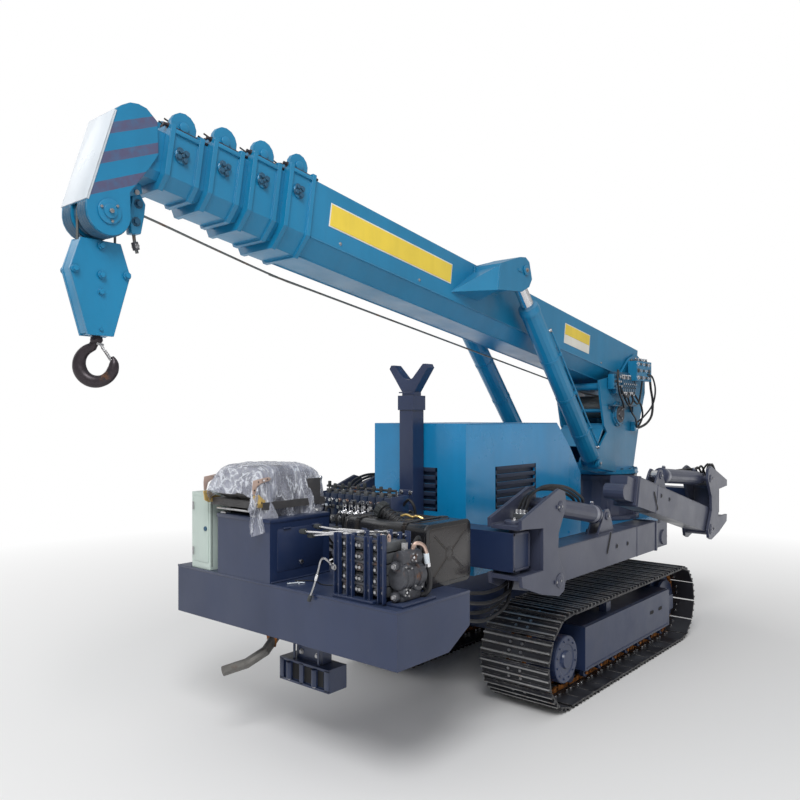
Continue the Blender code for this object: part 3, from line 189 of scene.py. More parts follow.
def hose(points, radius, sides=10, smooth=6):
    """A hose on one smooth curve through the points, or on straight lines between them if smooth is 1."""
    route = [Vector(point) for point in points]
    if smooth > 1:
        ends = [2 * route[0] - route[1]] + route + [2 * route[-1] - route[-2]]
        fine = []
        for a, b, c, d in zip(ends, ends[1:], ends[2:], ends[3:]):
            for step in range(smooth):
                t = step / smooth
                fine.append(0.5 * (2 * b + (c - a) * t + (2 * a - 5 * b + 4 * c - d) * t * t
                                   + (3 * b - a - 3 * c + d) * t * t * t))
        route = fine + [route[-1]]
    curve = bpy.data.curves.new("route", "CURVE")
    curve.dimensions = "3D"
    curve.bevel_depth = radius
    curve.bevel_resolution = max(0, sides // 4 - 1)
    curve.use_fill_caps = True
    spline = curve.splines.new("POLY")
    spline.points.add(len(route) - 1)
    for point, place in zip(spline.points, route):
        point.co = (*place, 1.0)
    scratch = bpy.data.objects.new("route", curve)
    bpy.context.scene.collection.objects.link(scratch)
    mesh = evaluated_mesh(scratch)
    shape = bmesh.new()
    shape.from_mesh(mesh)
    bmesh.ops.remove_doubles(shape, verts=shape.verts, dist=1e-6)
    bmesh.ops.recalc_face_normals(shape, faces=shape.faces)
    bpy.data.objects.remove(scratch)
    bpy.data.curves.remove(curve)
    bpy.data.meshes.remove(mesh)
    return shape


def weld(*points, radius=0.004):
    """A thin bead along straight lines."""
    return hose(points, radius, 8, 1)


def bolt(place, way, radius, washer=True):
    """A hexagon head, with its washer if it has one; way is the direction that it faces."""
    place, way = Vector(place), Vector(way).normalized()
    head = rod(place + way * 0.15 * radius, place + way * 0.95 * radius, radius, 6)
    return [head] + ([rod(place - way * 0.1 * radius, place + way * 0.2 * radius, radius * 1.35, 14)]
                     if washer else [])


def nut(place, way, radius):
    """A hexagon head without a washer."""
    return bolt(place, way, radius, False)


def arc(centre, radius, first, last, count):
    """Points on an arc between two angles in degrees."""
    angles = [radians(first + (last - first) * step / (count - 1)) for step in range(count)]
    return [(centre[0] + radius * cos(angle), centre[1] + radius * sin(angle)) for angle in angles]


def oval(centre, half, radius, count=9):
    """A slot's outline: two half circles, half above and half below the centre."""
    y, z = centre
    return arc((y, z + half), radius, 0, 180, count) + arc((y, z - half), radius, 180, 360, count)


def around(centre, radius, angles, axis="X"):
    """Places on a circle about an axis, one for each angle in degrees."""
    for angle in angles:
        first, second = radius * cos(radians(angle)), radius * sin(radians(angle))
        yield Vector(centre) + Vector((0, first, second) if axis == "X" else (first, second, 0))


def at_side(side, points):
    """A profile along X, turned to that side."""
    return [(side * along, radius) for along, radius in points]


def linked(name, shape):
    """A new object in the scene, made from the shape."""
    mesh = bpy.data.meshes.new(name)
    shape.to_mesh(mesh)
    shape.free()
    made = bpy.data.objects.new(name, mesh)
    bpy.context.scene.collection.objects.link(made)
    return made


class Piece:
    """Collects shapes, each with its finish, into one finished object; place moves all that is added."""
    def __init__(self, name, place=Matrix.Identity(4)):
        self.name, self.place = name, place
        self.mesh = bmesh.new()
        self.finishes = []

    def add(self, finish_name, *shapes, place=None):
        if finish_name not in self.finishes:
            self.finishes.append(finish_name)
        for shape in shapes:
            if isinstance(shape, list):
                self.add(finish_name, *shape, place=place)
                continue
            moved(self.place if place is None else place, shape)
            for face in shape.faces:
                face.material_index = self.finishes.index(finish_name)
            scratch = bpy.data.meshes.new("scratch")
            shape.to_mesh(scratch)
            shape.free()
            self.mesh.from_mesh(scratch)
            bpy.data.meshes.remove(scratch)

    def pin(self, finish_name, foot, side, reach, radius, head, head_finish="steel", sides=24, soft=0.0015):
        """A round cap that stands out to that side, with a nut on it."""
        tip = foot + Vector((side * reach, 0, 0))
        self.add(finish_name, rod(foot, tip, radius, sides, soft))
        self.add(head_finish, nut(tip, (side, 0, 0), head))

    def done(self, body, slot=None, replaces=()):
        made = linked(self.name, self.mesh)
        for name in self.finishes:
            made.data.materials.append(finish(name))
        made.data.shade_smooth()
        made.data.set_sharp_from_angle(angle=radians(35))
        if body:
            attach(made, body)
        if replaces:
            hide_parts(*replaces)
        return made


# ====================================================================== finishes
GREY, UNDER, DUST = (0.5, 0.5, 0.5, 1.0), (0.05, 0.045, 0.045), (0.3, 0.33, 0.38, 1.0)


def opaque(value):
    return (*value, 1.0) if isinstance(value, tuple) and len(value) == 3 else value


class Shading:
    """Adds shader nodes to a tree. A value may be a number, a colour or another node's socket."""
    def __init__(self, tree):
        self.tree = tree

    def feed(self, sockets, values):
        for name, value in values.items():
            if isinstance(value, bpy.types.NodeSocket):
                self.tree.links.new(value, sockets[name])
            else:
                sockets[name].default_value = value

    def node(self, kind, values, **settings):
        made = self.tree.nodes.new("ShaderNode" + kind)
        for name, value in settings.items():
            setattr(made, name, value)
        self.feed(made.inputs, values)
        return made.outputs

    def place(self):
        return self.node("TexCoord", {})["Object"]

    def noise(self, scale, detail=4.0, stretch=None, rough=0.55):
        """Noise on Object coordinates; stretch squeezes it along each axis."""
        place = self.place()
        if stretch:
            place = self.node("Mapping", {"Vector": place, "Scale": stretch})[0]
        return self.node("TexNoise", {"Vector": place, "Scale": scale, "Detail": detail,
                                      "Roughness": rough})["Fac"]

    def ramp(self, value, low, high, to_low=0.0, to_high=1.0):
        return self.node("MapRange", {"Value": value, "From Min": low, "From Max": high, "To Min": to_low,
                                      "To Max": to_high})[0]

    def maths(self, operation, first, *others):
        """The operation on the first two values, then on the outcome and each further value."""
        for other in others:
            first = self.node("Math", {0: first, 1: other}, operation=operation)[0]
        return first

    def times(self, *values):
        return self.maths("MULTIPLY", *values)

    def plus(self, *values):
        return self.maths("ADD", *values)

    def mix(self, factor, first, second, blend="MIX"):
        values = {"Factor": factor, 6: opaque(first), 7: opaque(second)}
        return self.node("Mix", values, data_type="RGBA", blend_type=blend)[2]

    def tinted(self, value, colour_value):
        return self.node("HueSaturation", {"Value": value, "Color": colour_value})[0]

    def soft_edges(self, radius):
        return self.node("Bevel", {"Radius": radius}, samples=4)["Normal"]

    def bump(self, strength, distance, height, **more):
        return self.node("Bump", {"Strength": strength, "Distance": distance, "Height": height, **more})[0]


def shader_group(name, defaults, build):
    """The shader group of that name, made on its first use; build turns its inputs into its outputs."""
    found = bpy.data.node_groups.get(name)
    if found:
        return found
    tree = bpy.data.node_groups.new(name, "ShaderNodeTree")
    for label, default in defaults.items():
        kind = "NodeSocketFloat" if isinstance(default, float) else "NodeSocketColor"
        tree.interface.new_socket(label, in_out="INPUT", socket_type=kind).default_value = default
    shade = Shading(tree)
    made = build(shade, tree.nodes.new("NodeGroupInput").outputs)
    kinds = {"Color": "NodeSocketColor", "Normal": "NodeSocketVector"}
    for label in made:
        tree.interface.new_socket(label, in_out="OUTPUT", socket_type=kinds.get(label, "NodeSocketFloat"))
    shade.feed(tree.nodes.new("NodeGroupOutput").inputs, made)
    return tree


def paint_group(shade, given):
    """Sprayed paint on plate: soft edges, uneven coat, fine texture, dust on top, chips on its edges."""
    edge = shade.soft_edges(given["Edge"])
    flat = shade.node("NewGeometry", {})["Normal"]
    bend = shade.node("VectorMath", {0: edge, 1: flat}, operation="DOT_PRODUCT")["Value"]
    patches = shade.ramp(shade.noise(34.0, 6.0), 0.42, 0.62)
    chips = shade.times(shade.ramp(bend, 0.99, 0.8), patches, given["Wear"])
    uneven = shade.ramp(shade.noise(1.7, 5.0), 0.3, 0.7, 0.9, 1.12)
    runs = shade.ramp(shade.noise(9.0, 4.0, (1.0, 1.0, 0.12)), 0.35, 0.7, 1.03, 0.93)
    coat = shade.tinted(shade.times(uneven, runs), given["Paint"])
    upward = shade.ramp(shade.node("SeparateXYZ", {0: flat})["Z"], 0.3, 0.95)
    settled = shade.times(upward, shade.ramp(shade.noise(6.0, 8.0), 0.3, 0.75))
    haze = shade.ramp(shade.noise(2.6, 6.0, (1.0, 1.0, 0.5)), 0.5, 0.8, 0.0, 0.35)
    dust = shade.times(shade.maths("MAXIMUM", settled, haze), given["Dust amount"])
    smear = shade.ramp(shade.noise(5.0, 5.0), 0.3, 0.7, -0.07, 0.09)
    texture = shade.plus(shade.times(shade.noise(170.0, 2.0), 0.12), shade.times(shade.noise(4.5, 3.0), 1.6))
    height = shade.maths("SUBTRACT", texture, shade.times(chips, 0.3))
    return {"Color": shade.mix(chips, shade.mix(dust, coat, given["Dust"]), given["Under paint"]),
            "Roughness": shade.plus(given["Roughness"], smear, shade.times(dust, 0.5)), "Chips": chips,
            "Normal": shade.bump(0.35, 0.004, height, Normal=edge)}


def metal_group(shade, given):
    """Bare metal with rust or grime in patches and a fine brushed or cast surface."""
    grain = shade.node("TexNoise", {"Vector": shade.place(), "Scale": given["Grain"], "Detail": 5.0})["Fac"]
    patch = shade.plus(shade.noise(16.0, 8.0, rough=0.65), shade.times(given["Rust amount"], 0.8))
    rusted = shade.ramp(patch, 0.66, 0.84)
    shades = shade.mix(shade.ramp(shade.noise(48.0, 5.0), 0.35, 0.65), (0.25, 0.22, 0.2), (1.4, 1.25, 1.1))
    rust = shade.mix(1.0, given["Rust"], shades, "MULTIPLY")
    metal = shade.tinted(shade.ramp(grain, 0.3, 0.7, 0.82, 1.15), given["Metal"])
    height = shade.plus(shade.times(grain, 0.25), shade.times(rusted, 0.35))
    return {"Color": shade.mix(rusted, metal, rust),
            "Roughness": shade.plus(given["Roughness"], shade.times(rusted, 0.45)),
            "Clean": shade.ramp(rusted, 0.0, 1.0, 1.0, 0.0),
            "Normal": shade.bump(0.5, 0.002, height, Normal=shade.soft_edges(given["Edge"]))}


def new_finish(name):
    made = bpy.data.materials.new(name)
    made.use_nodes = True
    return made, Shading(made.node_tree), made.node_tree.nodes["Principled BSDF"].inputs


def grouped_finish(name, tree, values):
    made, shade, inputs = new_finish(name)
    group = shade.tree.nodes.new("ShaderNodeGroup")
    group.node_tree = tree
    shade.feed(group.inputs, values)
    shade.feed(inputs, {"Base Color": group.outputs["Color"], "Roughness": group.outputs["Roughness"],
                        "Normal": group.outputs["Normal"]})
    return made, shade, inputs, group.outputs


def painted(name, paint, rough=0.36, wear=0.25, dust=0.25, under=UNDER, coat=0.25):
    """A painted finish; returns its shading, inputs and outputs too, so that stripes can be laid on it."""
    tree = shader_group("Worn paint", {"Paint": GREY, "Under paint": GREY, "Dust": GREY, "Roughness": 0.4,
        "Wear": 0.3, "Dust amount": 0.2, "Edge": 0.004}, paint_group)
    parts = grouped_finish(name, tree, {"Paint": (*paint, 1.0), "Under paint": (*under, 1.0), "Dust": DUST,
        "Roughness": rough, "Wear": wear, "Dust amount": dust, "Edge": bpy.context.scene.crane_sizes.edge})
    parts[1].feed(parts[2], {"Coat Weight": coat, "Coat Roughness": 0.18})
    return parts


def bare_metal(name, metal, rough=0.35, rust=0.1, grain=80.0, metallic=1.0, rust_colour=(0.2, 0.085, 0.025)):
    tree = shader_group("Weathered metal", {"Metal": GREY, "Rust": GREY, "Rust amount": 0.3,
        "Roughness": 0.4, "Grain": 60.0, "Edge": 0.003}, metal_group)
    made, shade, inputs, outputs = grouped_finish(name, tree, {"Metal": (*metal, 1.0),
        "Rust": (*rust_colour, 1.0), "Rust amount": rust, "Roughness": rough, "Grain": grain,
        "Edge": bpy.context.scene.crane_sizes.edge * 0.6})
    shade.feed(inputs, {"Metallic": shade.times(outputs["Clean"], metallic)})
    return made


def striped():
    """Boom paint with three slanting faded bands across the head's cheeks."""
    paints = bpy.context.scene.crane_paints
    made, shade, inputs, outputs = painted("striped", paints.boom, dust=0.1)
    centre = joint("head_sheave_spin")
    spot = shade.node("SeparateXYZ", {0: shade.place()})
    slope, start, period, width, bands = 0.43, 0.065, 0.1035, 0.041, 3
    # height over a line that rises from the front plate towards the boom, through the sheave's centre
    level = centre.z - slope * (centre.y - 0.027)
    rise = shade.maths("SUBTRACT", spot["Z"], shade.times(spot["Y"], slope), level)
    turns = shade.maths("FRACT", shade.maths("DIVIDE", shade.maths("SUBTRACT", rise, start), period), 0.0)
    band = shade.maths("LESS_THAN", turns, width / period)
    above = shade.maths("GREATER_THAN", rise, start)
    below = shade.maths("LESS_THAN", rise, start + bands * period)
    ahead = shade.maths("LESS_THAN", spot["Y"], centre.y + 0.235)
    cheek = shade.maths("GREATER_THAN", shade.maths("ABSOLUTE", spot["X"], 0.0), 0.0925)
    mask = shade.times(shade.times(band, shade.times(above, below)), shade.times(ahead, cheek))
    faded = shade.times(mask, shade.ramp(shade.noise(30.0, 6.0), 0.25, 0.6, 0.6, 0.95))
    shade.feed(inputs, {"Base Color": shade.mix(faded, outputs["Color"], tuple(paints.stripe))})
    return made


def rubber(name, tone, rough=0.42):
    made, shade, inputs = new_finish(name)
    value = shade.ramp(shade.noise(25.0, 5.0), 0.3, 0.7, 0.75, 1.5)
    shade.feed(inputs, {"Base Color": shade.tinted(value, (*tone, 1.0)),
        "Roughness": shade.ramp(shade.noise(12.0, 4.0), 0.3, 0.7, rough - 0.08, rough + 0.14),
        "Normal": shade.bump(0.3, 0.001, shade.noise(320.0, 2.0))})
    return made


def vinyl():
    """Black seat cover with a fine leather grain."""
    made, shade, inputs = new_finish("vinyl")
    cells = shade.node("TexVoronoi", {"Vector": shade.place(), "Scale": 420.0}, feature="DISTANCE_TO_EDGE")
    worn = shade.ramp(shade.noise(14.0, 5.0), 0.3, 0.7)
    shade.feed(inputs, {"Base Color": shade.mix(worn, (0.03, 0.029, 0.032), (0.058, 0.055, 0.057)),
        "Roughness": shade.ramp(shade.noise(9.0, 4.0), 0.3, 0.7, 0.42, 0.6),
        "Normal": shade.bump(0.35, 0.001, shade.ramp(cells["Distance"], 0.0, 0.12)), "Sheen Weight": 0.15})
    return made


def film():
    """Clear plastic film: mostly see-through, milky in its folds, with painted highlights along its fine creases.
    """
    made, shade, inputs = new_finish("film")
    long_folds = shade.noise(7.0, 5.0, (1.0, 3.2, 1.0))
    fine_folds = shade.noise(24.0, 6.0, (1.0, 2.0, 1.0))
    ridges = [shade.ramp(shade.maths("ABSOLUTE", shade.maths("SUBTRACT", folds, 0.5), 0.0), 0.0, width, 1.0,
                         0.0) for folds, width in ((long_folds, 0.05), (fine_folds, 0.035))]
    # mask of the folds' ridges; they are painted near-white and more opaque as a painted highlight
    crease_highlight = shade.maths("MAXIMUM", ridges[0], shade.times(ridges[1], 0.55))
    cloud = shade.ramp(shade.noise(6.0, 6.0, (1.0, 2.4, 1.0)), 0.35, 0.7, 0.22, 0.62)
    height = shade.plus(shade.times(crease_highlight, 0.35), shade.plus(long_folds, fine_folds))
    shade.feed(inputs, {"Alpha": shade.maths("MAXIMUM", cloud, shade.times(crease_highlight, 0.85)),
        "Base Color": shade.mix(crease_highlight, (0.5, 0.52, 0.62), (0.86, 0.89, 0.96)),
        "Roughness": shade.ramp(cloud, 0.3, 0.7, 0.14, 0.3), "Normal": shade.bump(0.7, 0.01, height),
        "Specular IOR Level": 0.8})
    return made


# a painted finish without a colour here takes the paint setting of its name
PAINTED = {
    "boom": dict(dust=0.12),
    "cover": dict(rough=0.3, dust=0.1, coat=0.35),
    "deck": dict(dust=0.14, under=(0.2, 0.19, 0.19)),
    "outrigger": dict(dust=0.14, under=(0.22, 0.2, 0.2)),
    "cabinet": dict(dust=0.1, wear=0.15),
    "sign": dict(rough=0.45, wear=0.2, dust=0.12),
    "sign_edge": dict(paint=(0.82, 0.8, 0.72), rough=0.45, wear=0.2, dust=0.1),
    "tank": dict(paint=(0.012, 0.012, 0.014), rough=0.25, dust=0.12, under=(0.16, 0.08, 0.03)),
    "olive": dict(paint=(0.026, 0.022, 0.022), rough=0.28, dust=0.15, under=(0.25, 0.2, 0.1)),
    "white": dict(paint=(0.68, 0.74, 0.8), rough=0.3, dust=0.1, wear=0.5),
    # near-black painted shade, laid in holes, slots, gaps and mouths
    "painted_hole_shade": dict(paint=(0.004, 0.004, 0.006), rough=0.7, dust=0.05, wear=0.0, coat=0.0),
    "band": dict(paint=(0.23, 0.24, 0.29), rough=0.3, dust=0.1),
    # dark paint of the valve slices and louvre bands, and painted shade behind the cover's slots
    "dark_panel_and_painted_shade": dict(paint=(0.014, 0.026, 0.06), rough=0.45, dust=0.2, coat=0.0),
    # dark sheave blue; on the collars' boss bolts and nut it is painted shade on boom-blue parts
    "sheave": dict(paint=(0.01, 0.085, 0.165), rough=0.4, dust=0.15),
    "engine": dict(paint=(0.08, 0.085, 0.09), rough=0.5),
    "pink": dict(paint=(0.5, 0.36, 0.3), rough=0.4, dust=0.1, wear=0.3),
    "shoe": dict(paint=(0.013, 0.013, 0.017), rough=0.4, wear=0.8, dust=0.18, under=(0.52, 0.5, 0.47),
                 coat=0.0),
}
# colour, roughness, rust, grain, metallic and the rust's colour
METAL = {
    "rusty": ((0.2, 0.105, 0.045), 0.5, 0.62, 70.0, 0.5),
    "old_pipe": ((0.17, 0.165, 0.155), 0.45, 0.12, 40.0, 0.6, (0.2, 0.1, 0.05)),
    "worn_bar": ((0.42, 0.42, 0.42), 0.38, 0.12, 30.0, 0.7),
    "steel": ((0.42, 0.42, 0.43), 0.33, 0.05),
    "bright": ((0.78, 0.78, 0.8), 0.2, 0.02, 140.0),
    "chrome": ((0.74, 0.74, 0.76), 0.12, 0.0, 200.0),
    "zinc": ((0.8, 0.56, 0.2), 0.36, 0.06, 40.0, 0.75),
    "copper": ((0.6, 0.44, 0.37), 0.3, 0.04),
    "casting": ((0.075, 0.078, 0.09), 0.48, 0.12, 120.0, 0.35),
    "forged": ((0.036, 0.028, 0.034), 0.38, 0.1, 50.0, 0.45),
    "rope": ((0.16, 0.17, 0.17), 0.45, 0.15, 260.0, 0.7),
}
OTHER = {"striped": striped, "vinyl": vinyl, "film": film,
         "grip": lambda: rubber("grip", (0.03, 0.034, 0.036), 0.55),
         "rubber": lambda: rubber("rubber", bpy.context.scene.crane_paints.rubber)}
SLOT_FINISH = {
    "boom_paint": "boom", "cover_paint": "cover", "navy_paint": "deck", "outrigger_paint": "outrigger",
    "track_steel": "shoe", "chrome_rod": "chrome", "bare_steel": "steel", "tank_paint": "tank",
    "pale_paint": "cabinet", "seat_vinyl": "vinyl", "engine_casting": "engine", "hook_forging": "forged",
    "exhaust_rust": "old_pipe",
}
NODE_FINISH = {"boom_section_5": "striped", "head_sheave": "sheave", "rope_falls": "rope",
               "slew_pedestal": "outrigger"}


def finish(name):
    """The named finish, made on its first use."""
    found = bpy.data.materials.get(name)
    paints = bpy.context.scene.crane_paints
    if found:
        return found
    if name in PAINTED:
        values = dict(PAINTED[name])
        return painted(name, values.pop("paint", None) or getattr(paints, name), **values)[0]
    if name in METAL:
        return bare_metal(name, *METAL[name], *([paints.rust] if name == "rusty" else []))
    return OTHER[name]()


class CRANE_OT_finishes(bpy.types.Operator):
    """Give every CAD part its finish"""
    bl_idname = "crane.finishes"
    bl_label = "Part Finishes"

    def execute(self, context):
        slots = {part["node"]: part["material_slot"] for part in frame["record"]["subparts"]}
        for name, part in frame["nodes"].items():
            chosen = finish(NODE_FINISH.get(name, SLOT_FINISH[slots[name]]))
            for slot in part.material_slots:
                slot.material = chosen
        return {"FINISHED"}


# ====================================================================== tracks
class Loop:
    """The closed path of a track chain: two half circles joined by straight runs."""
    def __init__(self, node_name):
        box = Box(node_name)
        sizes = bpy.context.scene.crane_sizes
        outer = (box.z1 - box.z0) / 2
        self.side = 1 if box.x0 > 0 else -1
        self.radius = outer - sizes.shoe_thickness
        self.front, self.rear = box.y0 + outer, box.y1 - outer
        self.height = (box.z0 + box.z1) / 2
        self.middle = max(abs(box.x0), abs(box.x1)) - sizes.shoe_width / 2
        self.run = self.rear - self.front
        self.length = 2 * self.run + 2 * pi * self.radius

    def place(self, along):
        """Frame of a shoe: local Z points out of the loop, local Y runs along it."""
        along %= self.length
        half = pi * self.radius
        if along < self.run:                                   # ground run
            centre, turn = self.front + along, -90.0
        elif along < self.run + half:                          # round the rear
            centre, turn = self.rear, -90.0 + degrees((along - self.run) / self.radius)
        elif along < 2 * self.run + half:                      # back along the top
            centre, turn = self.rear - (along - self.run - half), 90.0
        else:                                                  # round the front
            centre, turn = self.front, 90.0 + degrees((along - 2 * self.run - half) / self.radius)
        y, z = centre + self.radius * cos(radians(turn)), self.height + self.radius * sin(radians(turn))
        return (Matrix.Translation((self.side * self.middle, y, z))
                @ Matrix.Rotation(radians(turn - 90.0), 4, "X"))


BAR_LOW, BAR_HIGH, CHAIN_LEVEL = 0.86, 0.98, 0.52   # shares of the shoe's height and of the chain's depth


def shoe_bars(pitch, height):
    """Place along the shoe, and height, of each of its three bars."""
    reach = pitch * 0.483 * 0.69
    return ((-reach, height * BAR_LOW), (0.0, height * BAR_HIGH), (reach, height * BAR_LOW))


def shoe_outline(pitch, height):
    """Section of one shoe: a thin plate with three bars."""
    half, top = pitch * 0.483, height * 0.32
    outline = [(-half, 0.0), (half, 0.0), (half, top)]
    for bar, tip in reversed(shoe_bars(pitch, height)):
        outline += [(bar + 0.0078, top), (bar + 0.0045, tip), (bar - 0.0045, tip), (bar - 0.0078, top)]
    return outline + [(-half, top)]


def link_outline(pitch, depth):
    """Side of a chain link: a waist under the shoe between two round bosses."""
    half, drop, radius = pitch / 2 - 0.002, -depth * CHAIN_LEVEL, depth * 0.46
    return [*arc((-half + radius, drop), radius, 130, 300, 7), (-half * 0.25, -depth * 0.7),
            (half * 0.25, -depth * 0.7), *arc((half - radius, drop), radius, 240, 410, 7),
            (half - radius * 0.4, -0.0006), (-half + radius * 0.4, -0.0006)]


def build_track(word):
    """Shoes with bars worn bright on their tips, four bolts each, and the chain inside them."""
    sizes = bpy.context.scene.crane_sizes
    loop = Loop("track_" + word)
    pitch, half_width = loop.length / sizes.shoe_count, sizes.shoe_width / 2
    height, depth = sizes.shoe_thickness - 0.0005, sizes.chain_depth
    shoes, chain = Piece("shoes_" + word), Piece("chain_" + word)
    wobble = Random(7 if loop.side > 0 else 8)
    for index in range(sizes.shoe_count):
        shoes.place = loop.place((index + 0.5) * pitch)
        shoes.add("shoe", plate(shoe_outline(pitch, height), (-half_width, half_width)))
        for bar, tip in shoe_bars(pitch, height):
            shoes.add("worn_bar", block((-half_width + 0.001, half_width - 0.001),
                                        (bar - 0.0043, bar + 0.0043), (tip - 0.002, tip + 0.0003)))
        for x in (-0.036, 0.036):
            for y in (-0.022, 0.022):
                shoes.add("steel", nut((x, y, 0.008), (0, 0, 1), 0.0085))
                shoes.add("bright", rod((x * 2.35, y, -0.001), (x * 2.35, y, -0.011), 0.009, 6))
        pin, level = loop.place(index * pitch), -depth * CHAIN_LEVEL
        for side in SIDES:
            link = plate(link_outline(pitch, depth), (side * 0.037, side * 0.053), "X", 0.003)
            chain.add("rusty", link, place=shoes.place)
            if wobble.random() < 0.9:
                chain.add("rusty", rod((side * 0.05, 0, level), (side * 0.0585, 0, level), 0.0125, 12),
                    place=pin)
        chain.add("steel", rod((-0.04, 0, level), (0.04, 0, level), 0.0145, 14), place=pin)
    shoes.done("machine", "track_steel", ("track_" + word,))
    chain.done("machine", "track_steel")


class CRANE_OT_tracks(bpy.types.Operator):
    """Build each track from shoes, links, pins and bolts"""
    bl_idname = "crane.tracks"
    bl_label = "Tracks"

    def execute(self, context):
        for word in ("left", "right"):
            build_track(word)
        return {"FINISHED"}


# ====================================================================== boom
SECTION_STEP = 0.02                         # each section is this much smaller all round
COLLAR_STEP = 0.185                         # each collar stands this much ahead of the one before
HEAD_ALONG, HEAD_UP = 4.45, -0.285          # the head sheave's centre, from the boom's pivot
ROPE_LEVEL, ROPE_REAR = -0.262, 1.05


class Boom:
    """Places along the boom. Shapes have Y as minus the distance from the pivot and Z above the axis."""
    def __init__(self):
        self.out = joint("telescope_2", "axis").normalized()
        self.up = self.out.cross(ACROSS)
        turn = Matrix((ACROSS, -self.out, self.up)).transposed().to_4x4()
        self.place = Matrix.Translation(joint("boom_luff")) @ turn

    def at(self, x, along, up):
        return self.place @ Vector((x, -along, up))


class Section:
    """Sizes of the boom section with that number, 0 being the outermost."""
    def __init__(self, number):
        self.name = "boom_section_" + str(number + 1)
        self.half = 0.16 - SECTION_STEP * number
        self.top = 0.182 - SECTION_STEP * number
        self.bottom = -0.168 + SECTION_STEP * number
        self.front = 3.71 + COLLAR_STEP * number
        self.face = self.front - 0.0775                 # middle of its collar
        self.ear = (0.055 if number == 0 else 0.06, self.top + 0.038)


def wheel(x, bore, rim, groove):
    """Profile of a rope wheel with a groove round it."""
    return [(x - 0.008, bore), (x - 0.008, rim), (x - 0.003, groove), (x + 0.003, groove), (x + 0.008, rim),
            (x + 0.008, bore)]


def build_collar(boom, number):
    """Boss and nuts on a collar's side faces, rims, ear pins, rope wheels and the tie rods on top."""
    section = Section(number)
    piece = Piece("collar_" + str(number + 1), boom.place)
    half, top, face, front = section.half, section.top, section.face, section.front
    radius, height = section.ear
    bosses = Random(40 + number)
    for side in SIDES:
        way = (side, 0, 0)
        piece.add("boom", block((side * (half - 0.002), side * (half + 0.0155)),
                                (-front + 0.018, -front + 0.137), (top - 0.016, top + 0.001), 0.002))
        centre = Vector((side * (half + 0.006), -face - 0.012, top - 0.092))
        profile = [(0.0, 0.0), (0.0, 0.031), (0.006, 0.031), (0.0085, 0.028), (0.0085, 0.0)]
        piece.add("boom", turned(at_side(side, profile), centre, "X", 26))
        tip = centre + Vector((side * 0.0085, 0, 0))
        # the boss's bolts and nut in the darker sheave blue: painted shade, as they are boom blue in shade
        for index in range(4):
            angle = 35 + 90 * index + bosses.uniform(-12, 12)
            piece.add("sheave", bolt(*around(tip, 0.02, (angle,)), way, 0.0105))
        piece.add("sheave", nut(tip, way, 0.008))
        ear_x = side * (half - 0.025)
        low, high = height - 0.034, height - 0.016
        keeper = [(-face - 0.026, low), (-face + 0.026, low), (-face + 0.019, high), (-face - 0.019, high)]
        tip = (ear_x + side * 0.009, -face, height)
        piece.add("boom", rod((ear_x, -face, height), tip, 0.021, 22, 0.0015),
                  plate(keeper, (ear_x, ear_x + side * 0.005), "X", 0.0015))
        piece.add("engine", bolt((ear_x + side * 0.005, -face, height - 0.026), way, 0.006))
        # tie rod with its nuts, running back over the next collar
        x, low = side * (half - 0.012), top + 0.012
        piece.add("forged", rod((x, -front - 0.02, low), (x, -front + 0.185, low), 0.007, 10))
        for along in (-front - 0.002, -front + 0.012, -front + 0.15):
            piece.add("forged", rod((x, along, low), (x, along + 0.009, low), 0.0125, 6))
        x = side * (half - 0.066)
        piece.add("forged",
                  rod((x, -front + 0.002, top + 0.02), (x, -front + 0.12, height + radius * 0.55), 0.006, 8),
                  rod((x, -front + 0.006, top + 0.022), (x, -front + 0.013, top + 0.025), 0.011, 6),
                  rod((x, -face + 0.03, top), (x, -face + 0.03, height + 0.028), 0.006, 8))
    reach = half - 0.046
    piece.add("steel", rod((-reach, -face, height), (reach, -face, height), 0.011, 14))
    for x in (-0.02, 0.02):
        piece.add("sheave", turned(wheel(x, 0.011, 0.034, 0.028), (0.0, -face, height), "X", 24))
        piece.add("rope", rod((x, -front + 0.02, height + 0.03), (x, -front + 0.27, top + 0.026), 0.0035, 8))
    stop = (-front + 0.002, -front + 0.03)
    piece.add("boom", block((-0.035, 0.035), stop, (top - 0.002, top + 0.018), 0.002))
    piece.done(section.name, "boom_paint")


def build_outer_section(boom):
    """Weld beads, grease points, hood pins and the rear plate of the first section."""
    section = Section(0)
    trim = Piece("boom_trim", boom.place)
    for side in SIDES:
        for x, z in ((section.half + 0.001, section.bottom + 0.085), (section.half - 0.058, section.bottom)):
            trim.add("boom", weld((side * x, -3.54, z), (side * x, 0.09, z)))
        for along in (0.55, 1.35, 2.75, 3.35):
            spot = (side * section.half, -along, section.bottom + 0.115)
            trim.add("steel", bolt(spot, (side, 0, 0), 0.006))
        hood_pin = Vector((side * 0.338, -1.99, 0.207))
        tip = hood_pin + Vector((side * 0.01, 0, 0))
        trim.add("boom", rod(hood_pin, tip, 0.03, 24, 0.002))
        trim.add("steel", bolt(tip, (side, 0, 0), 0.01))
        trim.add("boom", block((side * 0.338, side * 0.343), (-2.075, -2.03), (0.18, 0.196), 0.0015),
                 weld((side * 0.163, -2.46, -0.038), (side * 0.166, -2.27, 0.006),
                      (side * 0.166, -2.27, 0.166), (side * 0.166, -2.06, 0.262)))
    trim.add("boom", block((-0.15, 0.15), (0.098, 0.104), (-0.155, 0.17), 0.003))
    for x, up in ((-0.06, 0.05), (0.0, 0.05), (0.06, 0.05), (-0.03, -0.03), (0.03, -0.03)):
        trim.add("steel", bolt((x, 0.104, up), (0, 1, 0), 0.013))
    trim.done(section.name, "boom_paint")


class CRANE_OT_collars(bpy.types.Operator):
    """Fit the boom sections' collars with bosses, ears, wheels and tie rods"""
    bl_idname = "crane.collars"
    bl_label = "Boom Collars"

    def execute(self, context):
        boom = Boom()
        for number in range(4):
            build_collar(boom, number)
        build_outer_section(boom)
        return {"FINISHED"}


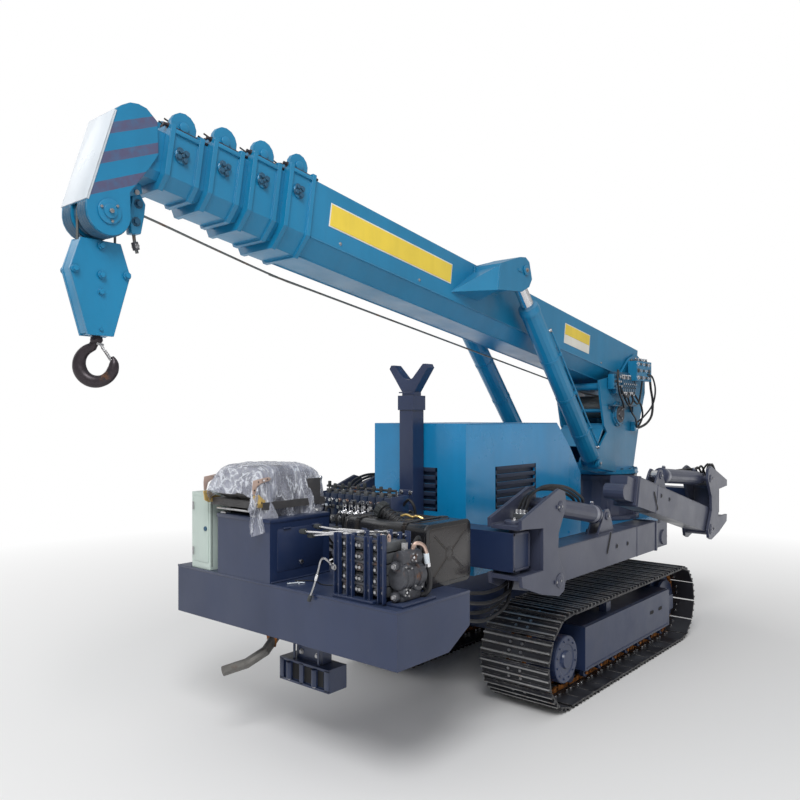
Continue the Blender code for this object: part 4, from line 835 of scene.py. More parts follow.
class CRANE_OT_signs(bpy.types.Operator):
    """Fix the blank warning plates to the boom's sides"""
    bl_idname = "crane.signs"
    bl_label = "Blank Signs"

    def execute(self, context):
        rim = 0.006
        for side, word in ((1, "left"), (-1, "right")):
            piece = Piece("signs_" + word, Boom().place)
            face = side * Section(0).half
            for near, far, low, high, margin in ((2.475, 3.436, 0.004, 0.117, rim),
                                                 (0.757, 1.14, -0.03, 0.11, 0.062)):
                piece.add("sign_edge", block((face, face + side * 0.0016), (-far, -near), (low, high)))
                piece.add("sign", block((face + side * 0.001, face + side * 0.0024),
                    (-far + rim, -near - rim), (low + margin, high - rim)))
            piece.done("boom_section_1")
        return {"FINISHED"}


# ====================================================================== head, block and rope
def build_socket():
    """Forged socket that holds the rope's end behind the head, plumb as it stands."""
    sheave = joint("head_sheave_spin")
    socket = Piece("rope_socket", Matrix.Translation((0.0, sheave.y, sheave.z)))
    socket.add("boom", plate([(0.135, 0.135), (0.16, 0.128), (0.192, 0.08), (0.186, 0.03), (0.172, -0.04),
                              (0.13, -0.044), (0.124, 0.04), (0.133, 0.085)], (-0.02, 0.02), "X", 0.005))
    for side in SIDES:
        way = (side, 0, 0)
        for spot in ((0.16, 0.075), (0.15, 0.005)):
            socket.add("sheave", bolt((side * 0.02, *spot), way, 0.0135))
        socket.add("boom", plate([(0.085, 0.175), (0.165, 0.15), (0.172, 0.115), (0.12, 0.095),
                                  (0.08, 0.115)], (side * 0.022, side * 0.03), "X", 0.002))
        socket.add("steel", bolt((side * 0.012, 0.159, -0.086), way, 0.007))
    socket.add("steel", rod((-0.036, 0.146, 0.115), (0.036, 0.146, 0.115), 0.01, 14))
    socket.add("rope", hose([(0.0, 0.15, -0.035), (0.0, 0.156, -0.075), (0.0, 0.166, -0.112)], 0.0065, 8, 4))
    clamp = [(0.0, sheave.y + along, sheave.z + up) for along, up in ((0.154, -0.07), (0.163, -0.1))]
    socket.add("casting", rod(*clamp, 0.014, 8, 0.002), place=Matrix.Identity(4))
    socket.done("boom_section_5", "boom_paint")


def build_head():
    """White front plate wrapped a little round both cheeks, the sheave stack's rims and the pin caps."""
    head = Piece("head_fittings", Boom().place)
    s, up, half = HEAD_ALONG, HEAD_UP, 0.094
    (y0, z0), (y1, z1) = (-s - 0.033, up + 0.378), (-s - 0.0885, up + 0.017)
    front = plate([(y0, z0), (y1, z1), (y1 - 0.0035, z1 + 0.0005), (y0 - 0.0035, z0 + 0.0025)],
                  (-half - 0.002, half + 0.002), "X", 0.001)
    head.add("white", front)
    for side in SIDES:
        head.add("white", plate([(y0 - 0.003, z0), (y1 - 0.003, z1), (y1 + 0.006, z1), (y0 + 0.006, z0)],
                                (side * half, side * (half + 0.002))))
    profile = [(0.0265, 0.07)]
    for x in (0.0265, 0.0455, 0.0645):
        profile += [(x, 0.0875), (x + 0.002, 0.0897), (x + 0.006, 0.0897), (x + 0.0095, 0.0865),
                    (x + 0.013, 0.0897), (x + 0.017, 0.0897), (x + 0.0185, 0.0875)]
    profile += [(0.083, 0.07)]
    for side in SIDES:
        way = (side, 0, 0)
        head.add("sheave", turned(at_side(side, profile[::side]), (0.0, -s, up), "X", 48))
        caps = [Vector((side * (half + reach), -s, up)) for reach in (0.0, 0.006, 0.013)]
        head.add("boom", rod(caps[0], caps[1], 0.046, 30, 0.0015), rod(caps[1], caps[2], 0.026, 24, 0.0015))
        head.add("steel", nut(caps[2], way, 0.009))
        for spot in around(caps[1], 0.036, (50, 170, 290)):
            head.add("steel", nut(spot, way, 0.0055))
        # bead where the cheek meets the last section
        x = side * 0.0865
        bead = [(x, -s + 0.13, 0.098), (x, -s + 0.155, 0.0), (x, -s + 0.13, -0.06)]
        head.add("boom", hose(bead, 0.004, 8, 4))
    head.done("boom_section_5", "boom_paint")


class CRANE_OT_head(bpy.types.Operator):
    """Fit the boom head with its front plate, sheave rims, pin cap and rope socket"""
    bl_idname = "crane.head"
    bl_label = "Boom Head"

    def execute(self, context):
        build_head()
        build_socket()
        return {"FINISHED"}


def loft(points, radii, sides, flat):
    """A round body along a line in the YZ plane with its own radius at each point; flat squeezes it in X."""
    shape = bmesh.new()
    rims = []
    angles = [2 * pi * side / sides for side in range(sides)]
    for index, (point, radius) in enumerate(zip(points, radii)):
        along = points[min(index + 1, len(points) - 1)] - points[max(index - 1, 0)]
        inward = along.cross(ACROSS).normalized()
        rims.append([shape.verts.new(point + ACROSS * radius * flat * cos(angle)
                                     + inward * radius * sin(angle)) for angle in angles])
    for rim, following in zip(rims, rims[1:]):
        for side in range(sides):
            other = (side + 1) % sides
            shape.faces.new((rim[side], rim[other], following[other], following[side]))
    shape.faces.new(rims[0])
    shape.faces.new(rims[-1])
    bmesh.ops.recalc_face_normals(shape, faces=shape.faces)
    return shape


def build_forging():
    """The hook, thick at its back and thin at its tip, with its nut, collar and latch."""
    centre, bend, last, steps = -0.104, 0.065, 280.0, 60
    shank = 0.0155
    line, radii = [Vector((0.0, 0.0, z)) for z in (0.046, 0.018, -0.01)], [shank] * 3
    radius_at = ((0, 0.017), (60, 0.0235), (95, 0.026), (140, 0.0245), (190, 0.0215), (235, 0.0215),
                 (258, 0.017), (272, 0.01), (280, 0.0055))
    for step in range(steps + 1):
        swept = last * step / steps
        line += around((0.0, 0.0, centre), bend, (105 + swept,))
        low, high = next(pair for pair in zip(radius_at, radius_at[1:]) if pair[1][0] >= swept - 1e-6)
        share = (swept - low[0]) / (high[0] - low[0])
        radii.append(low[1] + (high[1] - low[1]) * share)
    turn = Matrix.Rotation(-radians(50.0), 4, "Z")
    hook = Piece("hook_forging", Matrix.Translation(joint("hook_swivel")) @ turn)
    hook.add("forged", loft(line, radii, 24, 0.86),
             turned([(0.052, 0.0), (0.052, 0.0205), (0.066, 0.0205), (0.068, 0.018), (0.068, 0.0)], (0, 0, 0),
                    "Z", 20),
             turned([(-0.004, 0.014), (-0.004, 0.021), (-0.016, 0.023), (-0.024, 0.019), (-0.024, 0.01)],
                    (0, 0, 0), "Z", 24))
    for side in SIDES:
        hook.add("steel", plate([(0.01, -0.026), (0.018, -0.03), (0.06, -0.088), (0.056, -0.094),
                                 (0.05, -0.09)], (side * 0.009, side * 0.0065)))
    hook.add("steel", plate([(0.024, -0.042), (0.058, -0.088), (0.055, -0.092), (0.02, -0.045)],
                            (-0.009, 0.009)), rod((-0.024, 0.014, -0.03), (0.024, 0.014, -0.03), 0.005, 12))
    hook.done("hook", "hook_forging", ("hook",))


def build_block():
    """Bolts, edge plates and rope wheels of the hook block."""
    sheave = joint("head_sheave_spin")
    piece = Piece("block_fastenings", Matrix.Translation((0.0, sheave.y, sheave.z)))
    for side in SIDES:
        for x, y, z, size in ((0.04, 0.0, -0.116, 0.0115), (0.04, -0.101, -0.213, 0.0115),
                              (0.04, 0.101, -0.213, 0.0115), (0.04, 0.0, -0.223, 0.0115),
                              (0.034, 0.0, -0.285, 0.0115), (0.034, 0.0, -0.425, 0.006)):
            piece.add("boom", bolt((side * x, y, z), (side, 0, 0), size))
    for end in SIDES:
        piece.add("boom", plate([(end * 0.08, -0.103), (end * 0.116, -0.213), (end * 0.051, -0.44),
                                 (end * 0.047, -0.44), (end * 0.111, -0.213), (end * 0.076, -0.103)],
                                (-0.0235, 0.0235)))
    for x in (-0.01, 0.01):
        piece.add("sheave", turned(wheel(x, 0.02, 0.0695, 0.062), (0.0, 0.0, -0.223), "X", 36))
    piece.done("hook_block", "boom_paint")


class CRANE_OT_hook(bpy.types.Operator):
    """Build the hook block's fastenings, the forged hook and its latch"""
    bl_idname = "crane.hook"
    bl_label = "Hook and Block"

    def execute(self, context):
        build_block()
        build_forging()
        return {"FINISHED"}


def build_rope_lengths(boom, radius):
    """A straight length on each section, each a little thinner; the last one climbs to the head."""
    for number in range(5):
        route = [boom.at(0.0, 3.62, ROPE_LEVEL), boom.at(0.0, ROPE_REAR, ROPE_LEVEL)]
        if number == 4:
            route = [boom.at(0.0, along, up) for along, up in (
                (4.452, -0.2115), (4.4, -0.2125), (4.2, -0.222), (3.9, -0.243), (3.55, ROPE_LEVEL),
                (3.2, ROPE_LEVEL), (ROPE_REAR, ROPE_LEVEL))]
        piece = Piece("rope_" + str(number + 1))
        piece.add("rope", hose(route, radius * (1.0 - 0.012 * number), 10, 4 if number == 4 else 1))
        piece.done(Section(number).name, "bare_steel")


def build_rope_lead(boom, drum, radius):
    """The length from the drum to the boom, blended between the two."""
    leave = drum + Vector((0.03, 0.0, 0.0)) + boom.up * 0.0865
    route = [leave - boom.out * 0.012 - boom.up * 0.001, leave, boom.at(0.004, 0.545, -0.2725),
             boom.at(0.0, 0.8, -0.266), boom.at(0.0, ROPE_REAR + 0.02, ROPE_LEVEL)]
    piece = Piece("rope_lead")
    piece.add("rope", hose(route, radius * 1.01, 10, 8))
    lead = piece.done(None, "bare_steel")
    boom.at(0.0, ROPE_REAR, ROPE_LEVEL)
    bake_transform(lead)


def build_wraps(drum, radius):
    """The rope on the drum, as one ridged roll."""
    width, core = 0.232, 0.078
    pitch = 2.02 * radius
    count = int(width / pitch)
    profile = [(-width / 2, core)]
    for wrap in range(count):
        middle = -count * pitch / 2 + wrap * pitch + pitch / 2
        profile += arc((middle, 0.0805), radius * 0.98, 150, 30, 4)
    wraps = Piece("rope_on_drum")
    wraps.add("rope", turned(profile + [(width / 2, core)], drum, "X", 44))
    wraps.done("winch_drum", "bare_steel")


class CRANE_OT_rope(bpy.types.Operator):
    """Run the winch rope along under the boom, with a length on each section so that it stays whole"""
    bl_idname = "crane.rope"
    bl_label = "Winch Rope"

    def execute(self, context):
        boom, drum, radius = Boom(), joint("winch_spin"), context.scene.crane_sizes.rope
        build_rope_lengths(boom, radius)
        build_rope_lead(boom, drum, radius)
        build_wraps(drum, radius)
        return {"FINISHED"}


# ====================================================================== column, winch and lift cylinders
def fitting(piece, spot, way, radius=0.011, length=0.03, tone="steel"):
    """A hexagon nut with a round collar in front of it, as on the end of a hydraulic line."""
    spot, way = Vector(spot), Vector(way)

    def part(first, last, share, sides):
        return rod(spot + way * first, spot + way * last, radius * share, sides)

    piece.add(tone, part(-0.004, length * 0.45, 1.0, 6), part(length * 0.4, length * 0.75, 0.72, 12))
    piece.add("bright", part(length * 0.7, length, 0.92, 6))


def build_flange():
    """Bolts and rim of the slewing ring, the pins of the boom and its cylinders, and the pedestal's foot."""
    slew, foot, pivot = joint("slew"), joint("lift_swing_left"), joint("boom_luff")
    middle = Vector((slew.x, slew.y, 0.0))
    ring = Piece("slew_bolts")
    for spot in around(middle + Vector((0, 0, 1.182)), 0.283, range(9, 369, 18), "Z"):
        if abs(spot.x) > 0.2 or abs(spot.y - slew.y) > 0.22:
            ring.add("sheave", bolt(spot, (0, 0, 1), 0.01))
    rim = [(1.15, 0.299), (1.15, 0.3025), (1.158, 0.3025), (1.158, 0.299)]
    ring.add("boom", turned(rim, middle, "Z", 64))
    for side in SIDES:
        ring.pin("boom", Vector((side * 0.299, foot.y, foot.z)), side, 0.008, 0.031, 0.009)
        cap = [Vector((side * x, pivot.y, pivot.z)) for x in (0.184, 0.194, 0.2)]
        ring.add("boom", rod(cap[0], cap[1], 0.058, 30, 0.002))
        ring.add("sheave", rod(cap[1], cap[2], 0.034, 24, 0.0015))
        for spot in around(cap[1], 0.046, (45, 165, 285)):
            ring.add("steel", nut(spot, (side, 0, 0), 0.0065))
        ring.add("boom", weld((side * 0.186, slew.y - 0.18, 1.184), (side * 0.186, slew.y + 0.2, 1.184)))
    ring.done("turret", "boom_paint")
    top = Box("slew_pedestal").z1
    base = Piece("pedestal_foot")
    base.add("outrigger", turned([(0.802, 0.268), (0.802, 0.3), (0.814, 0.3), (0.82, 0.296), (0.82, 0.268)],
                                 middle, "Z", 64),
             turned([(top - 0.024, 0.268), (top - 0.024, 0.288), (top - 0.002, 0.288), (top - 0.002, 0.268)],
                    middle, "Z", 64))
    for spot in around(middle + Vector((0, 0, 0.82)), 0.285, range(10, 370, 20), "Z"):
        base.add("sheave", nut(spot, (0, 0, 1), 0.009))
    for angle in range(10, 370, 60):
        rib = plate([(0.266, 0.815), (0.297, 0.815), (0.28, 0.9), (0.266, 0.95)], (-0.005, 0.005))
        turn = Matrix.Rotation(radians(angle - 90), 4, "Z")
        base.add("outrigger", rib, place=Matrix.Translation(middle) @ turn)
    base.done("machine", "outrigger_paint")


def build_winch():
    """Drive motor on the left end of the drum, the plain bearing on its right end and the ledge over it."""
    drum, x = joint("winch_spin"), 0.184
    centre = Vector((0.0, drum.y + 0.012, drum.z - 0.055))
    motor = Piece("winch_motor")
    motor.add("boom", turned([(x - 0.004, 0.0), (x - 0.004, 0.098), (x + 0.01, 0.098), (x + 0.013, 0.094),
                              (x + 0.013, 0.082), (x + 0.024, 0.08), (x + 0.024, 0.0)], centre, "X", 40))
    for spot in around(centre + ACROSS * (x + 0.013), 0.089, range(18, 378, 36)):
        motor.add("sheave", nut(spot, (1, 0, 0), 0.0065))
    motor.add("casting", turned([(x + 0.02, 0.0), (x + 0.02, 0.068), (x + 0.029, 0.066), (x + 0.03, 0.05),
                                 (x + 0.026, 0.046), (x + 0.026, 0.03), (x + 0.034, 0.026),
                                 (x + 0.034, 0.0)], centre, "X", 36))
    for spot in around(centre + ACROSS * (x + 0.026), 0.038, (60, 180, 300)):
        motor.add("steel", nut(spot, (1, 0, 0), 0.007))
    motor.add("boom", turned([(-0.2, 0.0), (-0.2, 0.046), (-0.184, 0.06), (-0.18, 0.06), (-0.18, 0.0)],
                             (0.0, drum.y, drum.z), "X", 30))
    for spot in around((-0.188, drum.y, drum.z), 0.052, range(0, 360, 60)):
        motor.add("steel", nut(spot, (-1, 0, 0), 0.0055))
    for far, low in ((0.226, 1.664), (0.19, 1.64)):
        motor.add("sheave", block((x, far), (1.545, 1.985), (low, 1.676), 0.001))
    for y in (1.6, 1.94):
        motor.add("sheave", plate([(y, 1.664), (y + 0.006, 1.664), (y + 0.006, 1.62), (y, 1.62)], (x, 0.214)))
    motor.done("turret", "boom_paint")


# routes of the hoses that droop over the winch motor
COLUMN_HOSES = (
    ((0.244, 1.6, 1.9), (0.262, 1.55, 1.93), (0.266, 1.535, 1.85), (0.262, 1.58, 1.76), (0.25, 1.66, 1.7),
     (0.236, 1.72, 1.655)),
    ((0.24, 1.7, 1.755), (0.262, 1.69, 1.71), (0.268, 1.74, 1.67), (0.262, 1.82, 1.7), (0.246, 1.85, 1.755)),
    ((0.24, 1.77, 1.755), (0.258, 1.76, 1.7), (0.262, 1.8, 1.62), (0.25, 1.9, 1.57), (0.224, 1.99, 1.5)),
    ((0.24, 1.84, 1.755), (0.262, 1.86, 1.7), (0.262, 1.93, 1.69), (0.256, 1.99, 1.78), (0.262, 2.0, 1.868)),
    ((0.285, 2.05, 1.92), (0.298, 2.12, 1.9), (0.29, 2.2, 1.8), (0.262, 2.21, 1.68), (0.23, 2.1, 1.58),
     (0.214, 1.98, 1.53)),
    ((0.24, 1.91, 1.755), (0.26, 1.93, 1.71), (0.262, 1.99, 1.66), (0.248, 2.04, 1.58), (0.222, 2.02, 1.5)),
    ((0.256, 1.6, 1.816), (0.272, 1.62, 1.76), (0.272, 1.7, 1.735), (0.262, 1.76, 1.76)))
SUPPLY_HOSE = ((0.25, 2.13, 1.95), (0.24, 2.205, 1.91), (0.222, 2.275, 1.815), (0.21, 2.345, 1.71),
               (0.206, 2.335, 1.6), (0.206, 2.24, 1.535), (0.206, 2.1, 1.5), (0.206, 1.985, 1.492))


def build_valves(radius):
    """Control valves on the left side plate, their fittings and the hoses between them."""
    group, lines = Piece("column_valves"), Piece("column_hoses")
    picks = Random(11)
    out, up, down = (1, 0, 0), (0, 0, 1), (0, 0, -1)
    group.add("boom", block((0.188, 0.236), (1.535, 1.66), (1.792, 1.905), 0.003))
    group.add("sheave", block((0.188, 0.228), (1.56, 1.84), (1.885, 1.925), 0.003))
    for y in (1.555, 1.592, 1.629):
        for z in (1.815, 1.85, 1.885):
            fitting(group, (0.236, y, z), out, 0.0105, picks.uniform(0.018, 0.03),
                    picks.choice(("steel", "engine", "sheave")))
    for index in range(7):
        y = 1.69 + 0.036 * index
        group.add("sheave", block((0.222, 0.246), (y - 0.013, y + 0.013), (1.775, 1.872), 0.002))
        fitting(group, (0.234, y, 1.872), up, 0.011, 0.034, "steel" if index % 2 else "engine")
        fitting(group, (0.234, y, 1.777), down, 0.0105, 0.028, "bright" if index % 3 else "engine")
        group.add("bright", nut((0.246, y, 1.835), out, 0.0075))
        group.add("engine", nut((0.246, y, 1.806), out, 0.006))
    for index in range(5):
        y = 1.87 + 0.052 * index
        for z in (1.89, 1.945, 1.995):
            tone = "bright" if (index + int(z * 100)) % 2 else "engine"
            group.add(tone, bolt((0.285, y, z), out, picks.uniform(0.009, 0.013)))
        fitting(group, (0.262, y, 2.018), up, 0.01, 0.026, "steel" if index % 2 else "engine")
        group.add("engine", rod((0.232, y, 2.016), (0.232, y, 2.034), 0.012, 14, 0.002))
    group.add("boom", block((0.219, 0.281), (1.842, 1.85), (1.866, 2.018), 0.001),
              block((0.186, 0.222), (1.95, 1.992), (1.47, 1.545), 0.003))
    for route in COLUMN_HOSES:
        lines.add("rubber", hose(route, radius * 0.95, 10, 7))
    lines.add("rubber", hose(SUPPLY_HOSE, radius * 1.25, 12, 7))
    for x, y, z in ((0.206, 1.992, 1.492), (0.248, 2.13, 1.95)):
        lines.add("bright", rod((x, y - 0.012, z), (x, y + 0.022, z), 0.0135, 12))
    group.done("turret", "boom_paint")
    lines.done("turret")


def build_cylinder(word, side):
    """Gland, line and clamps on a lift cylinder's barrel; Y is minus the distance from its foot."""
    aim = joint("lift_extend_" + word, "axis").normalized()
    turn = Matrix((ACROSS, -aim, aim.cross(ACROSS))).transposed().to_4x4()
    place = Matrix.Translation(joint("lift_swing_" + word)) @ turn
    piece = Piece("lift_line_" + word, place)
    gland = [(0.0, 0.042), (0.0, 0.0655), (-0.03, 0.0665), (-0.034, 0.064), (-0.052, 0.064), (-0.052, 0.05)]
    piece.add("boom", turned(gland, (0.0, -1.3, 0.0), "Y", 40))
    piece.add("sheave", turned([(-0.002, 0.0405), (-0.002, 0.055), (0.004, 0.053), (0.004, 0.0405)],
                               (0.0, -1.306, 0.0), "Y", 32))
    spread = radians(35)
    offset = Vector((side * 0.075 * cos(spread), 0.0, 0.075 * sin(spread)))
    line = [offset * share - Vector((0, along, 0))
            for share, along in ((0.93, 0.115), (1.02, 0.15), (1.02, 1.1), (0.93, 1.135))]
    piece.add("boom", hose(line, 0.007, 10, 1))
    for along in (0.3, 0.62, 0.94):
        near, far = -along - 0.009, -along + 0.009
        strap = [(near, 0.0642), (near, 0.0662), (far, 0.0662), (far, 0.0642)]
        piece.add("boom", turned(strap, (0, 0, 0), "Y", 40))
        piece.add("boom", block((-0.013, 0.013), (-along - 0.011, -along + 0.011), (0.064, 0.084), 0.002),
                  place=place @ Matrix.Rotation(side * (pi / 2 - spread), 4, "Y"))
    for along in (0.118, 1.13):
        port = offset * 0.83 - Vector((0, along, 0))
        piece.add("steel", rod(port, port + offset * 0.25, 0.012, 12))
    piece.add("boom", turned([(-0.02, 0.04), (-0.02, 0.045), (-0.007, 0.045)], (0, -0.07, 0), "Y", 30))
    piece.done("lift_barrel_" + word, "boom_paint")


class CRANE_OT_column(bpy.types.Operator):
    """Dress the slewing column with its winch motor, valves, hoses, bolts and pins"""
    bl_idname = "crane.column"
    bl_label = "Slewing Column"

    def execute(self, context):
        build_flange()
        build_winch()
        build_valves(context.scene.crane_sizes.hose)
        for word, side in (("left", 1), ("right", -1)):
            build_cylinder(word, side)
        return {"FINISHED"}


# ====================================================================== outriggers and running gear
REAR_RISE = 13.4                # degrees that the folded rear arms rise above the front ones
OUTRIGGERS = (("front_left", 1, 1, 0.0), ("front_right", -1, 1, 0.0), ("rear_left", 1, -1, REAR_RISE),
              ("rear_right", -1, -1, REAR_RISE))


def build_yoke(name, place, flip, front, radius):
    """Pins with their keepers, beads, the top cap and the hoses of an outrigger's yoke."""
    piece, lines = Piece(name + "_yoke_fittings", place), Piece(name + "_hoses", place)
    for side in SIDES:
        for out, z, size in ((0.29, 0.72, 0.04), (0.3, 1.11, 0.03)):
            piece.pin("outrigger", Vector((side * 0.1, out, z)), side, 0.004, size, 0.006, sides=26)
            piece.add("outrigger", block((side * 0.1, side * 0.106), (out - size - 0.02, out - size + 0.006),
                                         (z - 0.01, z + 0.01), 0.0015))
            piece.add("steel", nut((side * 0.106, out - size - 0.009, z), (side, 0, 0), 0.006))
        x, edge = side * 0.0815, side * 0.0905
        piece.add("outrigger", weld((x, -0.085, 1.043), (x, 0.115, 1.043)),
                  hose([(edge, -0.095, 1.076), (edge, 0.28, 1.204), (edge, 0.345, 1.186)], 0.0025, 6, 1))
    piece.add("outrigger", turned([(1.042, 0.0), (1.042, 0.052), (1.056, 0.052), (1.06, 0.048), (1.06, 0.0)],
                                  (0, 0, 0), "Z", 30))
    piece.add("steel", bolt((0, 0, 1.06), (0, 0, 1), 0.014))
    piece.add("engine", block((-0.058, 0.058), (0.078, 0.132), (1.043, 1.082), 0.004))
    for index in range(3):
        x, lift, step = flip * (-0.052 + 0.024 * index), 0.012 * index, 0.03 * index
        if front:
            route = [(x, 0.125, 1.1 + lift * 0.5), (x, 0.175, 1.15 + lift), (x, 0.3, 1.184 + lift),
                     (x, 0.46, 1.178 + lift), (x * 0.9, 0.6, 1.15 + lift), (x * 0.6, 0.675 + step, 1.115),
                     (x * 0.5, 0.7 + step, 1.085)]
        else:
            far = flip * (-0.064 - 0.006 * index)
            route = [(x, 0.135, 1.125 + lift), (x, 0.2, 1.172 + lift), (x * 1.05, 0.29, 1.173 + lift * 0.4),
                     (far, 0.4, 1.176), (far, 0.5 + 0.05 * index, 1.158 + 0.008 * index),
                     (flip * -0.045, 0.56 + 0.05 * index, 1.15)]
        lines.add("rubber", hose([(x, 0.105, 1.08), *route], radius * 1.05, 10, 6))
        piece.add("bright", rod((x, 0.105, 1.079), (x, 0.109, 1.1), 0.0125, 12))
    if not front:
        piece.add("engine", block((-0.05, 0.05), (-0.06, 0.05), (1.06, 1.125), 0.004))
        for x in (-0.032, 0.0, 0.032):
            piece.add("steel", bolt((x, -0.004, 1.125), (0, 0, 1), 0.011))
            route = [(x, 0.05, 1.095), (x, 0.075, 1.11), (x, 0.088, 1.15), (x * 0.5, 0.05, 1.195),
                     (x * 0.5, 0.0, 1.2), (x * 0.6, -0.035, 1.165), (x, -0.04, 1.125)]
            lines.add("rubber", hose(route, radius, 10, 6))
    piece.done(name + "_yoke", "outrigger_paint")
    lines.done(name + "_yoke")


# slots and holes in an arm's sides: place along and up, lean, half length and radius
FRONT_MARKS = ((0.642, 0.115, -24.0, 0.056, 0.011), (0.753, 0.081, 0.0, 0.0, 0.0125),
               (0.909, 0.078, 0.0, 0.0, 0.0125))
REAR_MARKS = ((1.072, 0.055, -40.0, 0.06, 0.011), (0.982, 0.105, 0.0, 0.0, 0.0125),
              (0.832, 0.104, 0.0, 0.0, 0.0125))


def build_arm(name, place, front):
    """Slots, bands, pin caps and beads of an outrigger's arm, from its hinge."""
    piece = Piece(name + "_arm_fittings", place)
    low, high, half_width = -0.022, 0.165, 0.075
    for out, z, lean, half, size in FRONT_MARKS if front else REAR_MARKS:
        spot = place @ Matrix.Translation((0.0, out, z)) @ Matrix.Rotation(radians(lean), 4, "X")
        for face in SIDES:
            # each slot's inner oval is a near-black plate: painted shade in the slot or hole
            for tone, radius, near, far in (("outrigger", size + 0.005, 0.0745, 0.0765),
                                            ("painted_hole_shade", size, 0.0755, 0.0769)):
                piece.add(tone, plate(oval((0.0, 0.0), half, radius), (face * near, face * far)), place=spot)
    for y, wide, proud in ((1.355, 0.018, 0.006), (1.05, 0.006, 0.0025)):
        span = (y, y + wide)
        for face in SIDES:
            piece.add("outrigger", block((face * 0.074, face * (half_width + proud)), span,
                                         (low - proud, high + proud), 0.0015))
        for z in ((high - 0.001, high + proud), (low - proud, low + 0.001)):
            piece.add("outrigger", block((-half_width, half_width), span, z, 0.0015))
    out, up = (0.7, 0.265) if front else (0.93, 0.25)
    for face in SIDES:
        piece.pin("outrigger", Vector((face * 0.038, out, up)), face, 0.007, 0.025, 0.007, sides=22)
        x, seam = face * 0.04, face * 0.0745
        piece.add("outrigger", weld((x, out - 0.125, high), (x, out + 0.092, high)),
                  hose([(seam, 0.1, high - 0.0005), (seam, 1.34, high - 0.0005)], 0.0028, 6, 1))
    piece.done(name + "_arm", "outrigger_paint")


def build_ram(name, turn):
    """Gland, name band and ports of an outrigger's ram; local Y runs from its pin to its open end."""
    pin, aim = joint(name + "_ram_tilt"), joint(name + "_ram_extend", "axis").normalized()
    part = frame["nodes"][name + "_barrel"]
    reach = [(part.matrix_world @ vertex.co - pin).dot(aim) for vertex in part.data.vertices]
    end = max(max(reach), -min(reach))
    if aim.dot(turn.to_3x3() @ Vector((0, 1, 0))) < 0:
        aim = -aim
    level = ACROSS * (1 if aim.y > 0 else -1)
    place = Matrix.Translation(pin) @ Matrix((level, aim, level.cross(aim))).transposed().to_4x4()
    piece = Piece(name + "_ram_fittings", place)
    piece.add("outrigger", turned([(-0.026, 0.0505), (-0.026, 0.056), (-0.004, 0.056), (0.0, 0.0535),
                                   (0.003, 0.0265), (0.003, 0.026)], (0.0, end, 0.0), "Y", 36))
    piece.add("band", turned([(-0.07, 0.0512), (-0.07, 0.0528), (-0.03, 0.0528), (-0.03, 0.0512)],
                             (0.0, end, 0.0), "Y", 36))
    for along in (0.085, end - 0.055):
        piece.add("outrigger", rod((0.0, along, 0.046), (0.0, along, 0.066), 0.013, 14))
        piece.add("bright", rod((0.0, along, 0.064), (0.0, along, 0.072), 0.0095, 6))
    piece.done(name + "_barrel", "outrigger_paint")


class CRANE_OT_outriggers(bpy.types.Operator):
    """Fit pins, hoses, slots, rims and glands to the outriggers"""
    bl_idname = "crane.outriggers"
    bl_label = "Outriggers"

    def execute(self, context):
        for name, side, way, rise in OUTRIGGERS:
            name, front = "outrigger_" + name, way > 0
            swing, hinge = joint(name + "_swing"), joint(name + "_lower")
            turn = Matrix.Identity(4) if front else Matrix.Rotation(pi, 4, "Z")
            # side * way is the local X that points away from the machine
            build_yoke(name, Matrix.Translation((swing.x, swing.y, 0.0)) @ turn, side * way, front,
                       context.scene.crane_sizes.hose)
            build_arm(name, Matrix.Translation(hinge) @ turn @ Matrix.Rotation(radians(rise), 4, "X"), front)
            build_ram(name, turn)
        return {"FINISHED"}


def build_running_gear(word, side):
    """Hub, idler, slots, roller caps and return roller of one track frame."""
    loop = Loop("track_" + word)
    way = (side, 0, 0)
    piece = Piece("running_gear_" + word)
    piece.add("deck", turned(at_side(side, [(0.7, 0.0), (0.7, 0.127), (0.712, 0.127), (0.716, 0.122),
                                            (0.716, 0.085), (0.712, 0.08), (0.712, 0.05), (0.724, 0.045),
                                            (0.724, 0.0)]), (0.0, loop.front, loop.height), "X", 48))
    for spot in around((side * 0.716, loop.front, loop.height), 0.104, range(15, 375, 30)):
        piece.add("deck", nut(spot, way, 0.0055))
    piece.add("deck", turned(at_side(side, [(0.6, 0.0), (0.6, 0.15), (0.615, 0.155), (0.63, 0.15),
        (0.64, 0.06), (0.668, 0.055), (0.672, 0.0)]), (0.0, loop.rear, loop.height), "X", 40))
    for y in (1.092, 1.237):
        # each slot's inner outline is a near-black plate: painted shade in the slot
        for tone, radius, far in (("painted_hole_shade", 0.011, 0.7062), ("deck", 0.0155, 0.7056)):
            slot = arc((y + 0.02, 0.282), radius, -90, 90, 7) + arc((y - 0.02, 0.282), radius, 90, 270, 7)
            piece.add(tone, plate(slot, (side * 0.7045, side * far)))
    top = 0.385
    piece.add("deck", block((side * 0.405, side * 0.69), (0.14, 1.392), (top - 0.001, top + 0.004)),
              weld((side * 0.7052, 0.15, 0.15), (side * 0.7052, 1.385, 0.15)))
    for index in range(7):
        y = 0.2 + 1.14 * index / 6
        piece.add("deck", rod((side * 0.64, y, 0.104), (side * 0.672, y, 0.104), 0.026, 20, 0.002),
                  plate([(y - 0.03, 0.15), (y + 0.03, 0.15), (y + 0.018, 0.094), (y - 0.018, 0.094)],
                        (side * 0.648, side * 0.66)))
        piece.add("rusty", nut((side * 0.672, y, 0.104), way, 0.01))
    piece.add("steel", turned(at_side(side, [(0.47, 0.0), (0.47, 0.03), (0.48, 0.034), (0.5, 0.028),
                                             (0.58, 0.028), (0.6, 0.034), (0.61, 0.03), (0.61, 0.0)]),
                              (0.0, 0.541, 0.437), "X", 24))
    piece.done("machine", "navy_paint")


